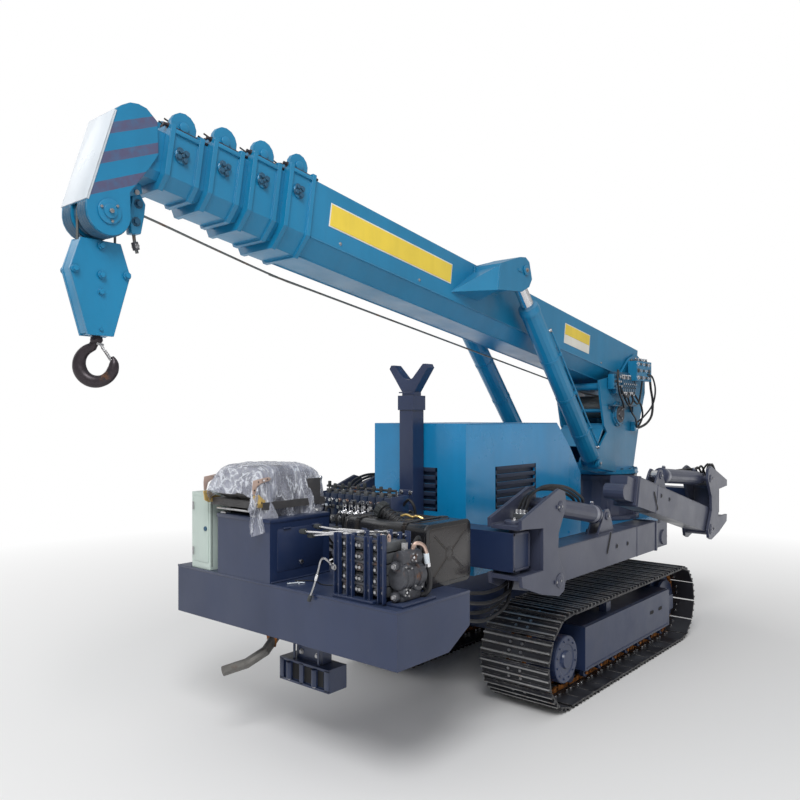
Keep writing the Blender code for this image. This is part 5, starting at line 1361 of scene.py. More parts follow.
def build_beam_rims():
    """A rim round the end of each outrigger beam."""
    rims = Piece("beam_rims")
    low, high, wide, thick = 0.812, 1.003, 0.0775, 0.012
    tall = (low, high)
    for side in SIDES:
        for y in (-0.5393, 2.4307):
            full = (y - wide, y + wide)
            for across, up in (((full[0], full[0] + thick), tall), ((full[1] - thick, full[1]), tall),
                               (full, (low, low + thick)), (full, (high - thick, high))):
                rims.add("outrigger", block((side * 0.689, side * 0.6945), across, up, 0.001))
    rims.done("machine", "outrigger_paint")


class CRANE_OT_running_gear(bpy.types.Operator):
    """Fit hubs, roller caps, slots and bolts to the track frames, and rims to the beams"""
    bl_idname = "crane.running_gear"
    bl_label = "Running Gear"

    def execute(self, context):
        for word, side in (("left", 1), ("right", -1)):
            build_running_gear(word, side)
        build_beam_rims()
        return {"FINISHED"}


# ====================================================================== operator's seat
def crowned(name, x, y, z, round_off, crown):
    """A closed box of even quads with rounded corners and a crowned top, for a cushion's start shape."""
    shape = bmesh.new()
    bmesh.ops.create_cube(shape, size=1.0)
    bmesh.ops.subdivide_edges(shape, edges=shape.edges[:], cuts=9, use_grid_fill=True)
    low, high = Vector((x[0], y[0], z[0])), Vector((x[1], y[1], z[1]))
    middle, half = (low + high) / 2, (high - low) / 2
    for vertex in shape.verts:
        spot = Vector([2 * vertex.co[axis] * half[axis] for axis in range(3)])
        inner = Vector([max(-half[axis] + round_off, min(half[axis] - round_off, spot[axis]))
                        for axis in range(3)])
        away = spot - inner
        if away.length > 1e-6:
            spot = inner + away.normalized() * round_off
        bulge = (1 - (spot.x / half.x) ** 2) * (1 - (spot.y / half.y) ** 2)
        if spot.z > 0:
            spot.z += crown * max(0.0, bulge)
        vertex.co = middle + spot
    bmesh.ops.recalc_face_normals(shape, faces=shape.faces[:])
    return linked(name, shape)


def modified(made, kind, **settings):
    added = made.modifiers.new(kind.lower(), kind)
    for key, value in settings.items():
        setattr(added, key, value)


def applied(made):
    """Replaces the mesh by what its modifiers make of it, and takes them off."""
    mesh, old = evaluated_mesh(made), made.data
    made.modifiers.clear()
    made.data = mesh
    bpy.data.meshes.remove(old)


def run_cloth(made, frames, gravity=1.0, **settings):
    """Runs Blender's cloth on the piece from frame 1 and keeps the last frame's shape."""
    scene = bpy.context.scene
    cloth = made.modifiers.new("cloth", "CLOTH")
    cloth.settings.effector_weights.gravity = gravity
    for key, value in settings.items():
        setattr(cloth.settings, key, value)
    cloth.point_cache.frame_start, cloth.point_cache.frame_end = 1, frames
    for number in range(1, frames + 1):
        scene.frame_set(number)
    applied(made)
    scene.frame_set(1)


def finished(made, name):
    """Gives a soft piece its finish, smooth shading and body."""
    made.data.materials.clear()
    made.data.materials.append(finish(name))
    for face in made.data.polygons:
        face.use_smooth = True
    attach(made, "machine")


SWELL_LIMIT = 0.009             # the most that a pad's skin moves while it swells


def build_pad(name, x, y, z, round_off, crown):
    made = crowned(name, x, y, z, round_off, crown)
    modified(made, "REMESH", mode="VOXEL", voxel_size=0.006)
    bpy.context.view_layer.update()
    applied(made)
    before = [vertex.co.copy() for vertex in made.data.vertices]
    run_cloth(made, 16, gravity=0.0, use_pressure=True, uniform_pressure_force=3.5, tension_stiffness=20,
              compression_stiffness=20, bending_stiffness=1.5, quality=5)
    for vertex, start in zip(made.data.vertices, before):
        swell = vertex.co - start
        if swell.length > SWELL_LIMIT:
            vertex.co = start + swell.normalized() * SWELL_LIMIT
    modified(made, "SUBSURF", levels=1, render_levels=1)
    bpy.context.view_layer.update()
    applied(made)
    sink_seams(made, x, y, z)
    finished(made, "vinyl")
    return made


def sink_seams(made, x, y, z):
    """Sinks a seam round the edge and three sewn channels across the top."""
    border, seam, channel_depth = 0.02, 0.0035, 0.006
    for vertex in made.data.vertices:
        spot = vertex.co
        side = min(spot.x - x[0], x[1] - spot.x, spot.y - y[0], y[1] - spot.y)
        if side < border:
            dent = exp(-((spot.z - (z[1] - border)) / seam) ** 2) * seam
            vertex.co = spot - vertex.normal * dent
        elif spot.z > (z[0] + z[1]) / 2:
            fade = min(1.0, (side - border) / 0.04)
            for share in (0.25, 0.5, 0.75):
                away = (spot.x - x[0] - (x[1] - x[0]) * share) / channel_depth
                spot.z -= exp(-away ** 2) * channel_depth * fade


SEAT_X = -0.25                  # middle of the seat, across the machine


def build_brackets():
    """Plated hinge brackets on both ends of the seat, with their holes and bolts, and the seat's runners."""
    piece = Piece("seat_brackets")
    lower = [(-1.633, 1.221), (-1.6, 1.224), (-1.57, 1.198), (-1.532, 1.189), (-1.517, 1.176),
             (-1.532, 1.168), (-1.6, 1.162), (-1.626, 1.174)]
    upper = [(-1.63, 1.29), (-1.54, 1.302), (-1.525, 1.295), (-1.532, 1.284), (-1.585, 1.273), (-1.608, 1.26),
             (-1.618, 1.224), (-1.632, 1.224), (-1.634, 1.262)]
    rear = [(-1.3, 1.15), (-1.22, 1.15), (-1.215, 1.2), (-1.235, 1.262), (-1.262, 1.262), (-1.285, 1.2)]
    lower_holes = [(y, z, 0.0048, 0.0045) for y, z in ((-1.612, 1.207), (-1.612, 1.18), (-1.585, 1.186),
                                                       (-1.548, 1.178))]
    upper_holes = [(y, z, 0.0008, 0.0038) for y, z in ((-1.6, 1.282), (-1.548, 1.292), (-1.624, 1.245))]
    for side in (1, -1):
        inner, thick = SEAT_X + side * 0.189, side * 0.004
        piece.add("zinc", plate(lower, (inner, inner + thick), "X", 0.0012))
        piece.add("pink", plate(upper, (inner - thick, inner), "X", 0.0012),
                  plate(rear, (inner, inner + thick), "X", 0.0012))
        # the holes are near-black rods: painted shade in each hole
        for y, z, deep, radius in (*lower_holes, *upper_holes, (-1.248, 1.235, 0.0048, 0.006)):
            piece.add("painted_hole_shade", rod((inner, y, z), (inner + side * deep, y, z), radius, 14))
        for y, z in ((-1.57, 1.178), (-1.575, 1.288)):
            piece.add("bright", nut((inner + thick, y, z), (side, 0, 0), 0.0055))
            piece.add("steel", rod((inner - side * 0.03, y, z), (inner, y, z), 0.006, 12))
        runner = SEAT_X + side * 0.115
        piece.add("steel", block((runner - 0.019, runner + 0.019), (-1.572, -1.196), (1.112, 1.12), 0.001))
    bar = [(0.115, -1.56, 1.136), (0.115, -1.592, 1.14), (0.1, -1.604, 1.142)]
    piece.add("steel", hose([(SEAT_X - x, y, z) for x, y, z in bar]
                            + [(SEAT_X + x, y, z) for x, y, z in reversed(bar)], 0.005, 10, 5))
    piece.done("machine", "bare_steel")


def build_cover(pads):
    """Clear film laid over the folded seat; it is wider than the seat, so it wrinkles and hangs down."""
    wide, deep, cells, swell = 0.66, 0.53, 0.01, 1.05
    across, along = int(wide / cells), int(deep / cells)
    picks = Random(7)

    def start(i, j):
        x, y = -0.505 + wide * i / across, -1.68 + deep * j / along
        fold = 0.009 * sin(30 * x + 14 * y) + 0.006 * sin(48 * y - 21 * x + 1.3)
        return x, y, 1.352 + fold + picks.uniform(-0.0015, 0.0015)

    shape = bmesh.new()
    rows = [[shape.verts.new(start(i, j)) for i in range(across + 1)] for j in range(along + 1)]
    for row, following in zip(rows, rows[1:]):
        for i in range(across):
            shape.faces.new((row[i], row[i + 1], following[i + 1], following[i]))
    sheet = linked("seat_film", shape)
    for pad in pads:
        pad.modifiers.new("touch", "COLLISION")
        pad.collision.thickness_outer = 0.003
        pad.collision.cloth_friction = 12
    run_cloth(sheet, 19, quality=6, mass=0.08, air_damping=2.5, tension_stiffness=18,
        compression_stiffness=18, shear_stiffness=8, bending_stiffness=1.6, shrink_min=1 - swell)
    for pad in pads:
        pad.modifiers.remove(pad.modifiers["touch"])
    modified(sheet, "SUBSURF", levels=1, render_levels=1)
    modified(sheet, "SOLIDIFY", thickness=0.0004, offset=1.0)
    finished(sheet, "film")


class CRANE_OT_seat(bpy.types.Operator):
    """Make the seat's cushion and folded back, their brackets and the plastic film over them"""
    bl_idname = "crane.seat"
    bl_label = "Seat"

    def execute(self, context):
        cushion = build_pad("seat_pad", (-0.422, -0.078), (-1.585, -1.205), (1.192, 1.262), 0.03, 0.004)
        back = build_pad("seat_back_folded", (-0.412, -0.088), (-1.572, -1.215), (1.266, 1.322), 0.028, 0.008)
        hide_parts("seat_cushion")
        build_brackets()
        build_cover([cushion, back])
        return {"FINISHED"}


# ====================================================================== front deck
FLOOR_TOP = 0.8172              # just clear of the deck's floor
FACING, FRONTWARD = (1, 0, 0), (0, -1, 0)


def build_deck_trims():
    """Rims, welds and the flap of the deck and seat box, and a clip and wire left on the floor."""
    deck, seat, cabinet = Box("front_deck"), Box("seat_box"), Box("side_cabinet")
    piece = Piece("deck_trims")
    rim = (1.092, 1.1095)
    for x, side in ((seat.x0, -1), (seat.x1, 1)):
        piece.add("deck", block((x, x + side * 0.004), (seat.y0 + 0.002, seat.y1), rim, 0.0008))
    piece.add("deck", block((seat.x0 - 0.004, seat.x1 + 0.004), (seat.y0 - 0.004, seat.y0), rim, 0.0008))
    for x, y0, y1, z in ((seat.x1 + 0.003, seat.y0 + 0.004, seat.y1, 0.818),
                         (cabinet.x0 - 0.003, cabinet.y0, cabinet.y1, 0.817)):
        piece.add("deck", weld((x, y0, z), (x, y1, z), radius=0.0045))
    rim = (deck.z1 - 0.01, deck.z1 + 0.0015)
    piece.add("deck", block((deck.x0, deck.x1), (deck.y0 - 0.0025, deck.y0 + 0.003), rim, 0.001),
              block((deck.x1 - 0.003, deck.x1 + 0.0025), (deck.y0, deck.y1), rim, 0.001),
              block((seat.x1, seat.x1 + 0.002), (seat.y0 + 0.045, seat.y1 - 0.045), (0.862, 1.06), 0.0008))
    x = seat.x1 + 0.004
    for y in (seat.y0 + 0.1, seat.y1 - 0.1):
        piece.add("deck", rod((x, y - 0.022, 1.06), (x, y + 0.022, 1.06), 0.005, 10))
    piece.add("steel", rod((x - 0.003, -1.379, 0.89), (x + 0.005, -1.379, 0.89), 0.011, 18, 0.002))
    clip = [(0.045, -1.52, 0.8175), (0.075, -1.47, 0.8185), (0.095, -1.455, 0.8175)]
    piece.add("white", hose(clip, 0.0035, 8, 4),
              hose([(0.052, -1.462, 0.8175), (0.095, -1.492, 0.8185)], 0.0035, 8, 2))
    piece.add("rubber", hose([(0.02, -1.45, FLOOR_TOP), (0.1, -1.4, FLOOR_TOP), (0.19, -1.43, 0.818),
                              (0.27, -1.38, FLOOR_TOP), (0.34, -1.4, FLOOR_TOP)], 0.0025, 6, 5))
    piece.done("machine", "navy_paint")


def build_cabinet_trims():
    """Door panels, the door's gap in painted shade, hinges and catch of the side cabinet."""
    cabinet = Box("side_cabinet")
    x0, x1, y0, y1 = cabinet.x0, cabinet.x1, cabinet.y0, cabinet.y1
    door = Piece("cabinet_trims")
    door.add("cabinet", block((x0 + 0.012, x1 - 0.012), (y0 - 0.003, y0), (0.85, 1.18), 0.001),
             block((x0 + 0.012, x0 - 0.003), (y0 + 0.02, y1 - 0.02), (0.85, 1.18), 0.001))
    # the door's gap as a near-black strip: painted shade
    door.add("painted_hole_shade", block((x1 - 0.004, x1 + 0.0005), (y0 + 0.008, y0 + 0.012), (0.83, 1.19)))
    hinge_x, hinge_y = x0 + 0.016, y0 - 0.005
    for z in (0.9, 1.13):
        door.add("steel", rod((hinge_x, hinge_y, z - 0.02), (hinge_x, hinge_y, z + 0.02), 0.005, 10))
    door.add("sheave", rod((x1 - 0.035, y0 - 0.008, 1.02), (x1 - 0.035, y0 - 0.002, 1.02), 0.012, 18, 0.0015))
    door.done("machine", "pale_paint")


# each lever's foot, the place of its knob across and up, and the knob's radius
LEVERS = ((0.45, -1.5, 1.08, 0.15, 1.066, 0.014), (0.5, -1.475, 1.092, 0.176, 1.048, 0.013),
          (0.545, -1.45, 1.078, 0.19, 1.086, 0.013), (0.585, -1.422, 1.096, 0.215, 1.06, 0.012),
          (0.615, -1.395, 1.086, 0.25, 1.076, 0.012), (0.635, -1.37, 1.08, 0.29, 1.052, 0.011))


def build_lever_stand():
    """Posts on a foot plate, the valve slices between them, the levers and the foot lever."""
    stand = Box("lever_stand")
    piece = Piece("lever_stand_detailed")
    floor, top, y0, y1 = stand.z0, stand.z1, stand.y0, stand.y1
    web = y0 + 0.027
    piece.add("deck", block((stand.x0, stand.x1), (y0, y1), (floor, floor + 0.012), 0.001),
              block((stand.x0 + 0.004, 0.65), (web, web + 0.007), (top - 0.045, top - 0.02), 0.001))
    for x in (0.372, 0.448, 0.548, 0.622):
        tall = (floor + 0.008, top - (0.012 if x < 0.6 else 0.0))
        for across, along in (((x, x + 0.032), (web - 0.005, web)), ((x, x + 0.004), (y0 + 0.003, web)),
                              ((x + 0.028, x + 0.032), (y0 + 0.003, web)),
                              ((x + 0.001, x + 0.031), (y1 - 0.022, y1 - 0.017))):
            piece.add("deck", block(across, along, tall, 0.0008))
        for z in (floor + 0.05, top - 0.05):
            piece.add("steel", bolt((x + 0.016, web - 0.005, z), FRONTWARD, 0.006))
    for index in range(5):
        z = 0.862 + 0.046 * index
        piece.add("engine", block((0.392, 0.64), (y0 + 0.034, y1 - 0.03), (z - 0.021, z + 0.02), 0.004))
        for x in (0.426, 0.497, 0.514, 0.6):
            piece.add("casting", rod((x, y0 + 0.044, z), (x, y0 + 0.02, z), 0.016, 18, 0.002))
            piece.add("steel", nut((x, y0 + 0.02, z), FRONTWARD, 0.0075))
        if index % 2 == 0:
            piece.add("casting", rod((0.4, y0 + 0.03, z + 0.022), (0.64, y0 + 0.03, z + 0.022), 0.009, 14))
    for x, y, z, knob_x, knob_z, size in LEVERS:
        start, end = Vector((x, y, z)), Vector((knob_x, y - 0.012, knob_z))
        way = (end - start).normalized()
        piece.add("chrome", rod(start, end, 0.0048, 12))
        piece.add("grip", rod(end - way * 0.012, end + way * 0.024, size, 18, 0.004, size * 0.8))
        piece.add("steel", rod(start - way * 0.004, start + way * 0.034, 0.0085, 12, 0.001),
                  rod(start + way * 0.06, start + way * 0.085, 0.0068, 6))
        piece.add("deck", block((x - 0.006, x + 0.008), (y - 0.01, y + 0.01), (1.03, z + 0.01), 0.0015))
        piece.add("bright", rod((x, y - 0.014, z), (x, y + 0.014, z), 0.004, 10))
    for x, y in ((0.596, -1.5), (0.622, -1.48)):
        piece.add("pink", plate([(x, 1.05), (x + 0.012, 1.05), (x + 0.016, 1.092), (x + 0.006, 1.1),
                                 (x - 0.004, 1.09)], (y, y + 0.004), "Y", 0.001))
        # a near-black disc in each plate's hole: painted shade
        piece.add("painted_hole_shade", rod((x + 0.006, y - 0.0008, 1.086), (x + 0.006, y, 1.086), 0.0035, 12))
    lever = [(0.376, -1.545, 0.94), (0.372, -1.572, 0.965), (0.358, -1.586, 0.98)]
    lever += [(x, -1.589, z) for x, z in ((0.34, 0.97), (0.326, 0.93), (0.308, 0.88), (0.29, 0.838),
                                          (0.268, 0.796))]
    piece.add("steel", hose(lever, 0.005, 12, 6), bolt(lever[0], FRONTWARD, 0.01))
    piece.add("grip", rod((0.276, -1.589, 0.812), (0.264, -1.589, 0.785), 0.0085, 14, 0.002))
    piece.add("bright", rod((0.318, -1.589, 0.906), (0.308, -1.589, 0.88), 0.008, 12, 0.001))
    piece.done("machine", "navy_paint", ("lever_stand",))


def build_motor(radius):
    """Ribbed casting with four bolted covers, a copper elbow and the hoses that lead away from it."""
    motor = Box("hydraulic_motor")
    piece, lines = Piece("hydraulic_motor_detailed"), Piece("motor_hoses")
    x, y0, y1, level = 0.682, motor.y0, motor.y1, 0.925
    piece.add("deck", block((motor.x0 + 0.02, motor.x1), (y0, y1), (motor.z0, motor.z0 + 0.012), 0.001))
    piece.add("casting", block((0.655, 0.706), (y0 + 0.03, y1 - 0.06), (0.826, 0.99), 0.012),
              rod((x, y0 + 0.022, level), (x, y1 - 0.05, level), 0.05, 32, 0.008),
              rod((0.684, y0 + 0.035, 1.0), (0.684, y1 - 0.065, 1.0), 0.034, 26, 0.006))
    for y in (y0 + 0.045, y0 + 0.085, y0 + 0.125):
        rib = [(y - 0.004, 0.048), (y - 0.004, 0.055), (y + 0.004, 0.055), (y + 0.004, 0.048)]
        piece.add("casting", turned(rib, (x, 0.0, level), "Y", 32))
    for y, z, size in ((-1.466, 0.95, 0.034), (-1.392, 0.905, 0.042), (-1.425, 1.005, 0.024),
                       (-1.47, 0.868, 0.022)):
        piece.add("casting", turned([(0.69, 0.0), (0.69, size), (0.716, size), (0.72, size - 0.004),
            (0.72, size * 0.55), (0.714, size * 0.5), (0.714, 0.0)], (0.0, y, z), "X", 28))
        for spot in around((0.719, y, z), size * 0.76, (30, 120, 210, 300)):
            piece.add("steel", nut(spot, FACING, 0.0045))
        piece.add("bright", nut((0.714, y, z), FACING, size * 0.25))
    for z in (0.85, 0.975):
        piece.add("casting", rod((x, y0 + 0.026, z), (x, y0 + 0.008, z), 0.02, 20, 0.002))
        piece.add("steel", bolt((x, y0 + 0.008, z), FRONTWARD, 0.009))
    piece.add("steel", rod((0.668, -1.43, 1.03), (0.668, -1.43, 1.062), 0.016, 6),
              rod((0.668, -1.37, 1.03), (0.668, -1.37, 1.05), 0.014, 6))
    piece.add("copper", hose([(0.686, -1.4, 1.02), (0.688, -1.388, 1.048), (0.7, -1.372, 1.054),
                              (0.714, -1.356, 1.04), (0.72, -1.346, 1.008)], 0.01, 14, 6))
    piece.add("white", rod((0.7195, -1.347, 1.012), (0.7215, -1.342, 0.968), 0.012, 18, 0.002))
    piece.add("bright", rod((0.7215, -1.342, 0.972), (0.722, -1.34, 0.955), 0.0135, 6))
    piece.done("machine", "navy_paint", ("hydraulic_motor",))
    lines.add("rubber",
              hose([(0.722, -1.34, 0.96), (0.724, -1.33, 0.91), (0.72, -1.33, 0.86), (0.7, -1.345, 0.834),
                    (0.672, -1.36, 0.842)], 0.0115, 14, 7),
              hose([(0.668, -1.37, 1.046), (0.662, -1.33, 1.07), (0.635, -1.285, 1.04), (0.626, -1.27, 0.95),
                    (0.632, -1.262, 0.85), (0.636, -1.24, 0.824)], radius, 12, 7),
              hose([(0.6, -1.44, 0.9), (0.618, -1.35, 0.905), (0.62, -1.29, 0.88), (0.616, -1.262, 0.84),
                    (0.6, -1.235, 0.824)], radius, 12, 7))
    lines.done("machine")


def rounded(y0, y1, z0, z1, corner):
    """Outline of a rectangle with rounded corners."""
    points = []
    for y, z, first in ((y1 - corner, z1 - corner, 0), (y0 + corner, z1 - corner, 90),
                        (y0 + corner, z0 + corner, 180), (y1 - corner, z0 + corner, 270)):
        points += arc((y, z), corner, first, first + 90, 8)
    return points


def build_tank():
    """Moulded tank with an embossed end, straps, a ribbed filler neck and its cap."""
    tank = Box("fuel_tank")
    x0, x1, y0, y1, z0, z1 = 0.1, 0.61, tank.y0, tank.y1, tank.z0, 1.098
    corner, proud, inset = 0.034, 0.003, 0.018
    piece = Piece("fuel_tank_detailed")
    rim = rounded(y0 - proud, y1 + proud, z0 - proud, z1 + proud, corner + proud)
    piece.add("tank", plate(rounded(y0, y1, z0, z1, corner), (x0 + 0.004, x1 - 0.004), "X", 0.003),
              plate(rim, (x0, x0 + 0.016), "X", 0.003), plate(rim, (x1 - 0.016, x1), "X", 0.003))
    field = rounded(y0 + inset, y1 - inset, z0 + inset, z1 - inset, corner - 0.012)
    piece.add("olive", plate(field, (x1 - 0.004, x1 + 0.0015), "X", 0.0012))
    centre = Vector((x1 + 0.0005, (y0 + y1) / 2, (z0 + z1) / 2))
    for y in (y0 + 0.048, y1 - 0.048):
        for z in (z0 + 0.048, z1 - 0.048):
            rib = Vector((centre.x, y, z))
            piece.add("olive", hose([rib, rib.lerp(centre, 0.5), rib.lerp(centre, 0.86)], 0.0055, 10, 2))
    piece.add("olive", turned([(x1, 0.034), (x1 + 0.004, 0.03), (x1 + 0.005, 0.022), (x1 + 0.001, 0.018)],
                              (0.0, centre.y, centre.z), "X", 32))
    # raised border round a shallow recess on top
    for across, along in (((0.15, 0.53), (y0 + 0.06, y0 + 0.068)), ((0.15, 0.53), (y1 - 0.068, y1 - 0.06)),
                          ((0.15, 0.158), (y0 + 0.06, y1 - 0.06)), ((0.522, 0.53), (y0 + 0.06, y1 - 0.06))):
        piece.add("tank", block(across, along, (z1 - 0.002, z1 + 0.004), 0.002))
    # straps over the tank, each of five strands side by side
    strap = ((y0 - 0.003, z0 + 0.004), (y0 - 0.003, z1 - 0.04), (y0 + 0.008, z1 - 0.01),
        (y0 + 0.04, z1 + 0.003), (y1 - 0.04, z1 + 0.003), (y1 - 0.008, z1 - 0.01), (y1 + 0.003, z1 - 0.04),
        (y1 + 0.003, z0 + 0.004))
    for x in (0.185, 0.475):
        for offset in (-0.01, -0.005, 0.0, 0.005, 0.01):
            piece.add("tank", hose([(x + offset, *point) for point in strap], 0.0028, 6, 4))
    # the neck leans towards the seat
    low, high = Vector((0.391, -1.129, 1.08)), Vector((0.29, -1.129, 1.132))
    way = (high - low).normalized()
    piece.add("tank", rod(low + (low - high) * 0.25, high, 0.029, 28, 0.002))
    for share in (0.1, 0.3, 0.5, 0.7, 0.9):
        spot = low.lerp(high, share)
        piece.add("rubber", rod(spot - way * 0.006, spot + way * 0.006, 0.0335, 28, 0.003))
    piece.add("grip", rod(high - way * 0.004, high + way * 0.03, 0.04, 30, 0.004))
    level = Vector((0, 1, 0))
    for angle in range(0, 360, 30):
        ridge = high + (level * cos(radians(angle)) + way.cross(level) * sin(radians(angle))) * 0.039
        piece.add("grip", rod(ridge + way * 0.001, ridge + way * 0.026, 0.0045, 8))
    piece.add("zinc", hose([(0.33, -1.055, 1.103), (0.36, -1.045, 1.113), (0.395, -1.04, 1.104),
                            (0.43, -1.05, 1.112), (0.46, -1.04, 1.102)], 0.006, 8, 6))
    piece.add("steel", bolt((x1 - 0.006, y0 + 0.022, z0 + 0.02), (0.6, -1, 0), 0.01))
    piece.done("machine", "tank_paint", ("fuel_tank",))


def build_valve_bank(radius):
    """Tray with nine valve slices and their levers, five swivels, and the hoses that drop to the floor."""
    bank = Box("valve_bank")
    piece, lines = Piece("valve_bank_detailed"), Piece("valve_bank_hoses")
    x0, x1, y0, y1, floor, count = -0.39, 0.14, -0.9093, -0.7493, 0.98, 9
    for x in (-0.25, 0.07):
        piece.add("deck", block((x - 0.03, x + 0.03), (y0 + 0.02, y1 - 0.02), (bank.z0, floor + 0.01), 0.002))
    sides = (y0 + 0.01, y1 - 0.014)
    for across, along, top in (((x0, x1), (y0 + 0.004, y1 - 0.004), floor + 0.012),
                               ((x0, x1), (y1 - 0.02, y1 - 0.012), 1.168),
                               ((x0, x0 + 0.008), sides, 1.168), ((x1 - 0.008, x1), sides, 1.168)):
        piece.add("deck", block(across, along, (floor, top), 0.001))
    picks = Random(5)
    for index in range(count):
        x, y = x0 + 0.04 + (x1 - x0 - 0.08) * index / (count - 1), y0 + 0.045
        for tone, half, along, tall in (
                ("dark_panel_and_painted_shade", 0.022, (y0 + 0.022, y1 - 0.024), (floor + 0.012, 1.16)),
                ("engine", 0.016, (y0 + 0.012, y0 + 0.026), (floor + 0.03, 1.045))):
            piece.add(tone, block((x - half, x + half), along, tall, 0.003))
        piece.add("engine", rod((x, y, 1.16), (x, y, 1.182), 0.013, 16, 0.002))
        piece.add("steel", bolt((x, y0 + 0.012, floor + 0.05), FRONTWARD, 0.008))
        for z in (1.128, 1.092):
            tone = picks.choice(("steel", "copper", "white", "engine", "bright"))
            fitting(piece, (x + picks.uniform(-0.004, 0.004), y0 + 0.024, z), FRONTWARD, 0.0105, 0.03, tone)
        lean = picks.uniform(-0.01, 0.01)
        top = Vector((x + lean, y0 + 0.04, 1.214 + picks.uniform(-0.006, 0.01)))
        piece.add("steel", rod((x, y, 1.18), top, 0.004, 8))
        piece.add("grip", rod(top - Vector((0, 0, 0.022)), top + Vector((0, 0, 0.006)), 0.0095, 14, 0.003))
        piece.add("bright", rod((x - 0.012, y1 - 0.045, 1.16), (x - 0.012, y1 - 0.045, 1.188), 0.01, 6))
    for index in range(5):
        x, y = -0.185 + 0.046 * index, y0 + 0.005
        piece.add("bright", rod((x, y0 - 0.038, 1.064), (x, y0 + 0.016, 1.064), 0.016, 22, 0.003))
        piece.add("chrome", rod((x, y, 1.056), (x, y, 1.118), 0.0145, 22, 0.003))
        piece.add("casting", rod((x, y, 1.112), (x, y, 1.124), 0.0165, 6))
        # a near-black disc at each swivel's mouth: painted shade inside it
        piece.add("painted_hole_shade", rod((x, y0 - 0.0388, 1.064), (x, y0 - 0.036, 1.064), 0.008, 14))
        lines.add("rubber", hose([(x, y0 - 0.036, 1.064), (x, y0 - 0.06, 1.055),
            (x + 0.006, y0 - 0.068, 1.01), (x + 0.004, y0 - 0.055, 0.95), (x, y0 - 0.03, 0.89),
            (x - 0.01, y0 + 0.04, 0.846)], radius * 0.8, 10, 6))
    for z in (1.176, 1.196):
        piece.add("casting", rod((x0 + 0.01, y0 + 0.06, z), (x1 - 0.01, y0 + 0.06, z), 0.007, 12))
    # round-topped rod at one end, as tall as the levers
    foot = Vector((x0 + 0.002, y0 + 0.012, 1.06))
    piece.add("dark_panel_and_painted_shade", rod(foot, foot + Vector((0, 0, 0.176)), 0.0085, 14, 0.001))
    knob = bmesh.new()
    bmesh.ops.create_uvsphere(knob, u_segments=16, v_segments=8, radius=0.012)
    piece.add("bright", knob, place=Matrix.Translation(foot + Vector((0, 0, 0.184))))
    for x in (-0.335, -0.285, 0.03, 0.07, 0.11):
        lines.add("rubber", hose([(x, y0 - 0.004, 1.092), (x, y0 - 0.04, 1.085), (x + 0.01, y0 - 0.052, 1.03),
                                  (x + 0.006, y0 - 0.04, 0.94), (x * 0.9, y0 + 0.02, 0.86),
                                  (x * 0.8, y0 + 0.09, 0.826)], radius * 0.85, 10, 6))
    for route in (((0.136, -0.8, 1.12), (0.175, -0.8, 1.15), (0.205, -0.79, 1.1), (0.195, -0.78, 0.98),
                   (0.185, -0.77, 0.85), (0.17, -0.765, 0.814)),
                  ((0.136, -0.77, 1.06), (0.165, -0.765, 1.085), (0.182, -0.76, 1.04), (0.178, -0.755, 0.93),
                   (0.16, -0.75, 0.82))):
        lines.add("rubber", hose(route, radius, 12, 6))
    piece.done("machine", "navy_paint", ("valve_bank",))
    lines.done("machine")


def build_tow_fittings():
    """Mouth in painted shade, rims, pins and bolts of the tow hitch."""
    piece, y = Piece("tow_fittings"), Box("tow_hitch").y0
    proud = (y - 0.01, y + 0.001)
    # a near-black sheet in the mouth: painted shade inside the hitch
    piece.add("painted_hole_shade", block((-0.128, 0.128), (y - 0.0012, y + 0.001), (0.318, 0.392)))
    for z in (0.302, 0.4):
        piece.add("deck", block((-0.17, 0.17), proud, (z - 0.002, z + 0.01), 0.001))
    for x in (-0.16, -0.02, 0.152):
        piece.add("deck", block((x - 0.01, x + 0.018), proud, (0.306, 0.404), 0.001))
    for x in (-0.1, 0.075):
        piece.add("deck", rod((x, y - 0.006, 0.315), (x, y - 0.006, 0.395), 0.017, 20, 0.002))
        piece.add("steel", bolt((x, y - 0.01, 0.318), FRONTWARD, 0.008))
    for x in (-0.084, 0.084):
        piece.add("deck", block((x - 0.006, x + 0.006), (y + 0.006, y + 0.012), (0.41, 0.565)))
    for x, z in ((-0.055, 0.545), (0.055, 0.545), (-0.055, 0.445), (0.055, 0.445)):
        piece.add("steel", bolt((x, y + 0.03, z), FRONTWARD, 0.01))
    piece.done("machine", "navy_paint")


def build_exhaust_fittings():
    piece = Piece("exhaust_fittings")
    piece.add("rusty", block((-0.245, -0.165), (-1.405, -1.345), (0.5, 0.512), 0.002),
        plate([(-0.243, 0.5), (-0.167, 0.5), (-0.178, 0.455), (-0.232, 0.455)], (-1.402, -1.396), "Y", 0.001),
        bolt((-0.175, -1.402, 0.52), (0, 0, 1), 0.009))
    piece.done("machine", "exhaust_rust")


def build_deck_hoses(radius):
    """Hoses that droop from the deck's rear face to the front beam, on both sides."""
    lines = Piece("deck_to_beam_hoses")
    for side in (1, -1):
        for index, (drop, out) in enumerate(((0.0, 0.0), (0.045, 0.018), (0.095, -0.018), (0.13, 0.004))):
            x, low = side * (0.61 + out), 0.78 - 0.028 * index
            lines.add("rubber", hose([(x, -1.076, low), (x, -1.02, 0.772 - 0.03 * index),
                (x, -0.88, 0.745 - drop), (x, -0.72, 0.722 - drop), (x, -0.56, 0.735 - drop * 0.8),
                (x * 0.96, -0.48, 0.775 - drop * 0.4), (x * 0.95, -0.475, 0.812)], radius * 1.2, 10, 6))
            lines.add("bright", rod((x, -1.076, low), (x, -1.052, low - 0.002), 0.013, 10))
    lines.done("machine")


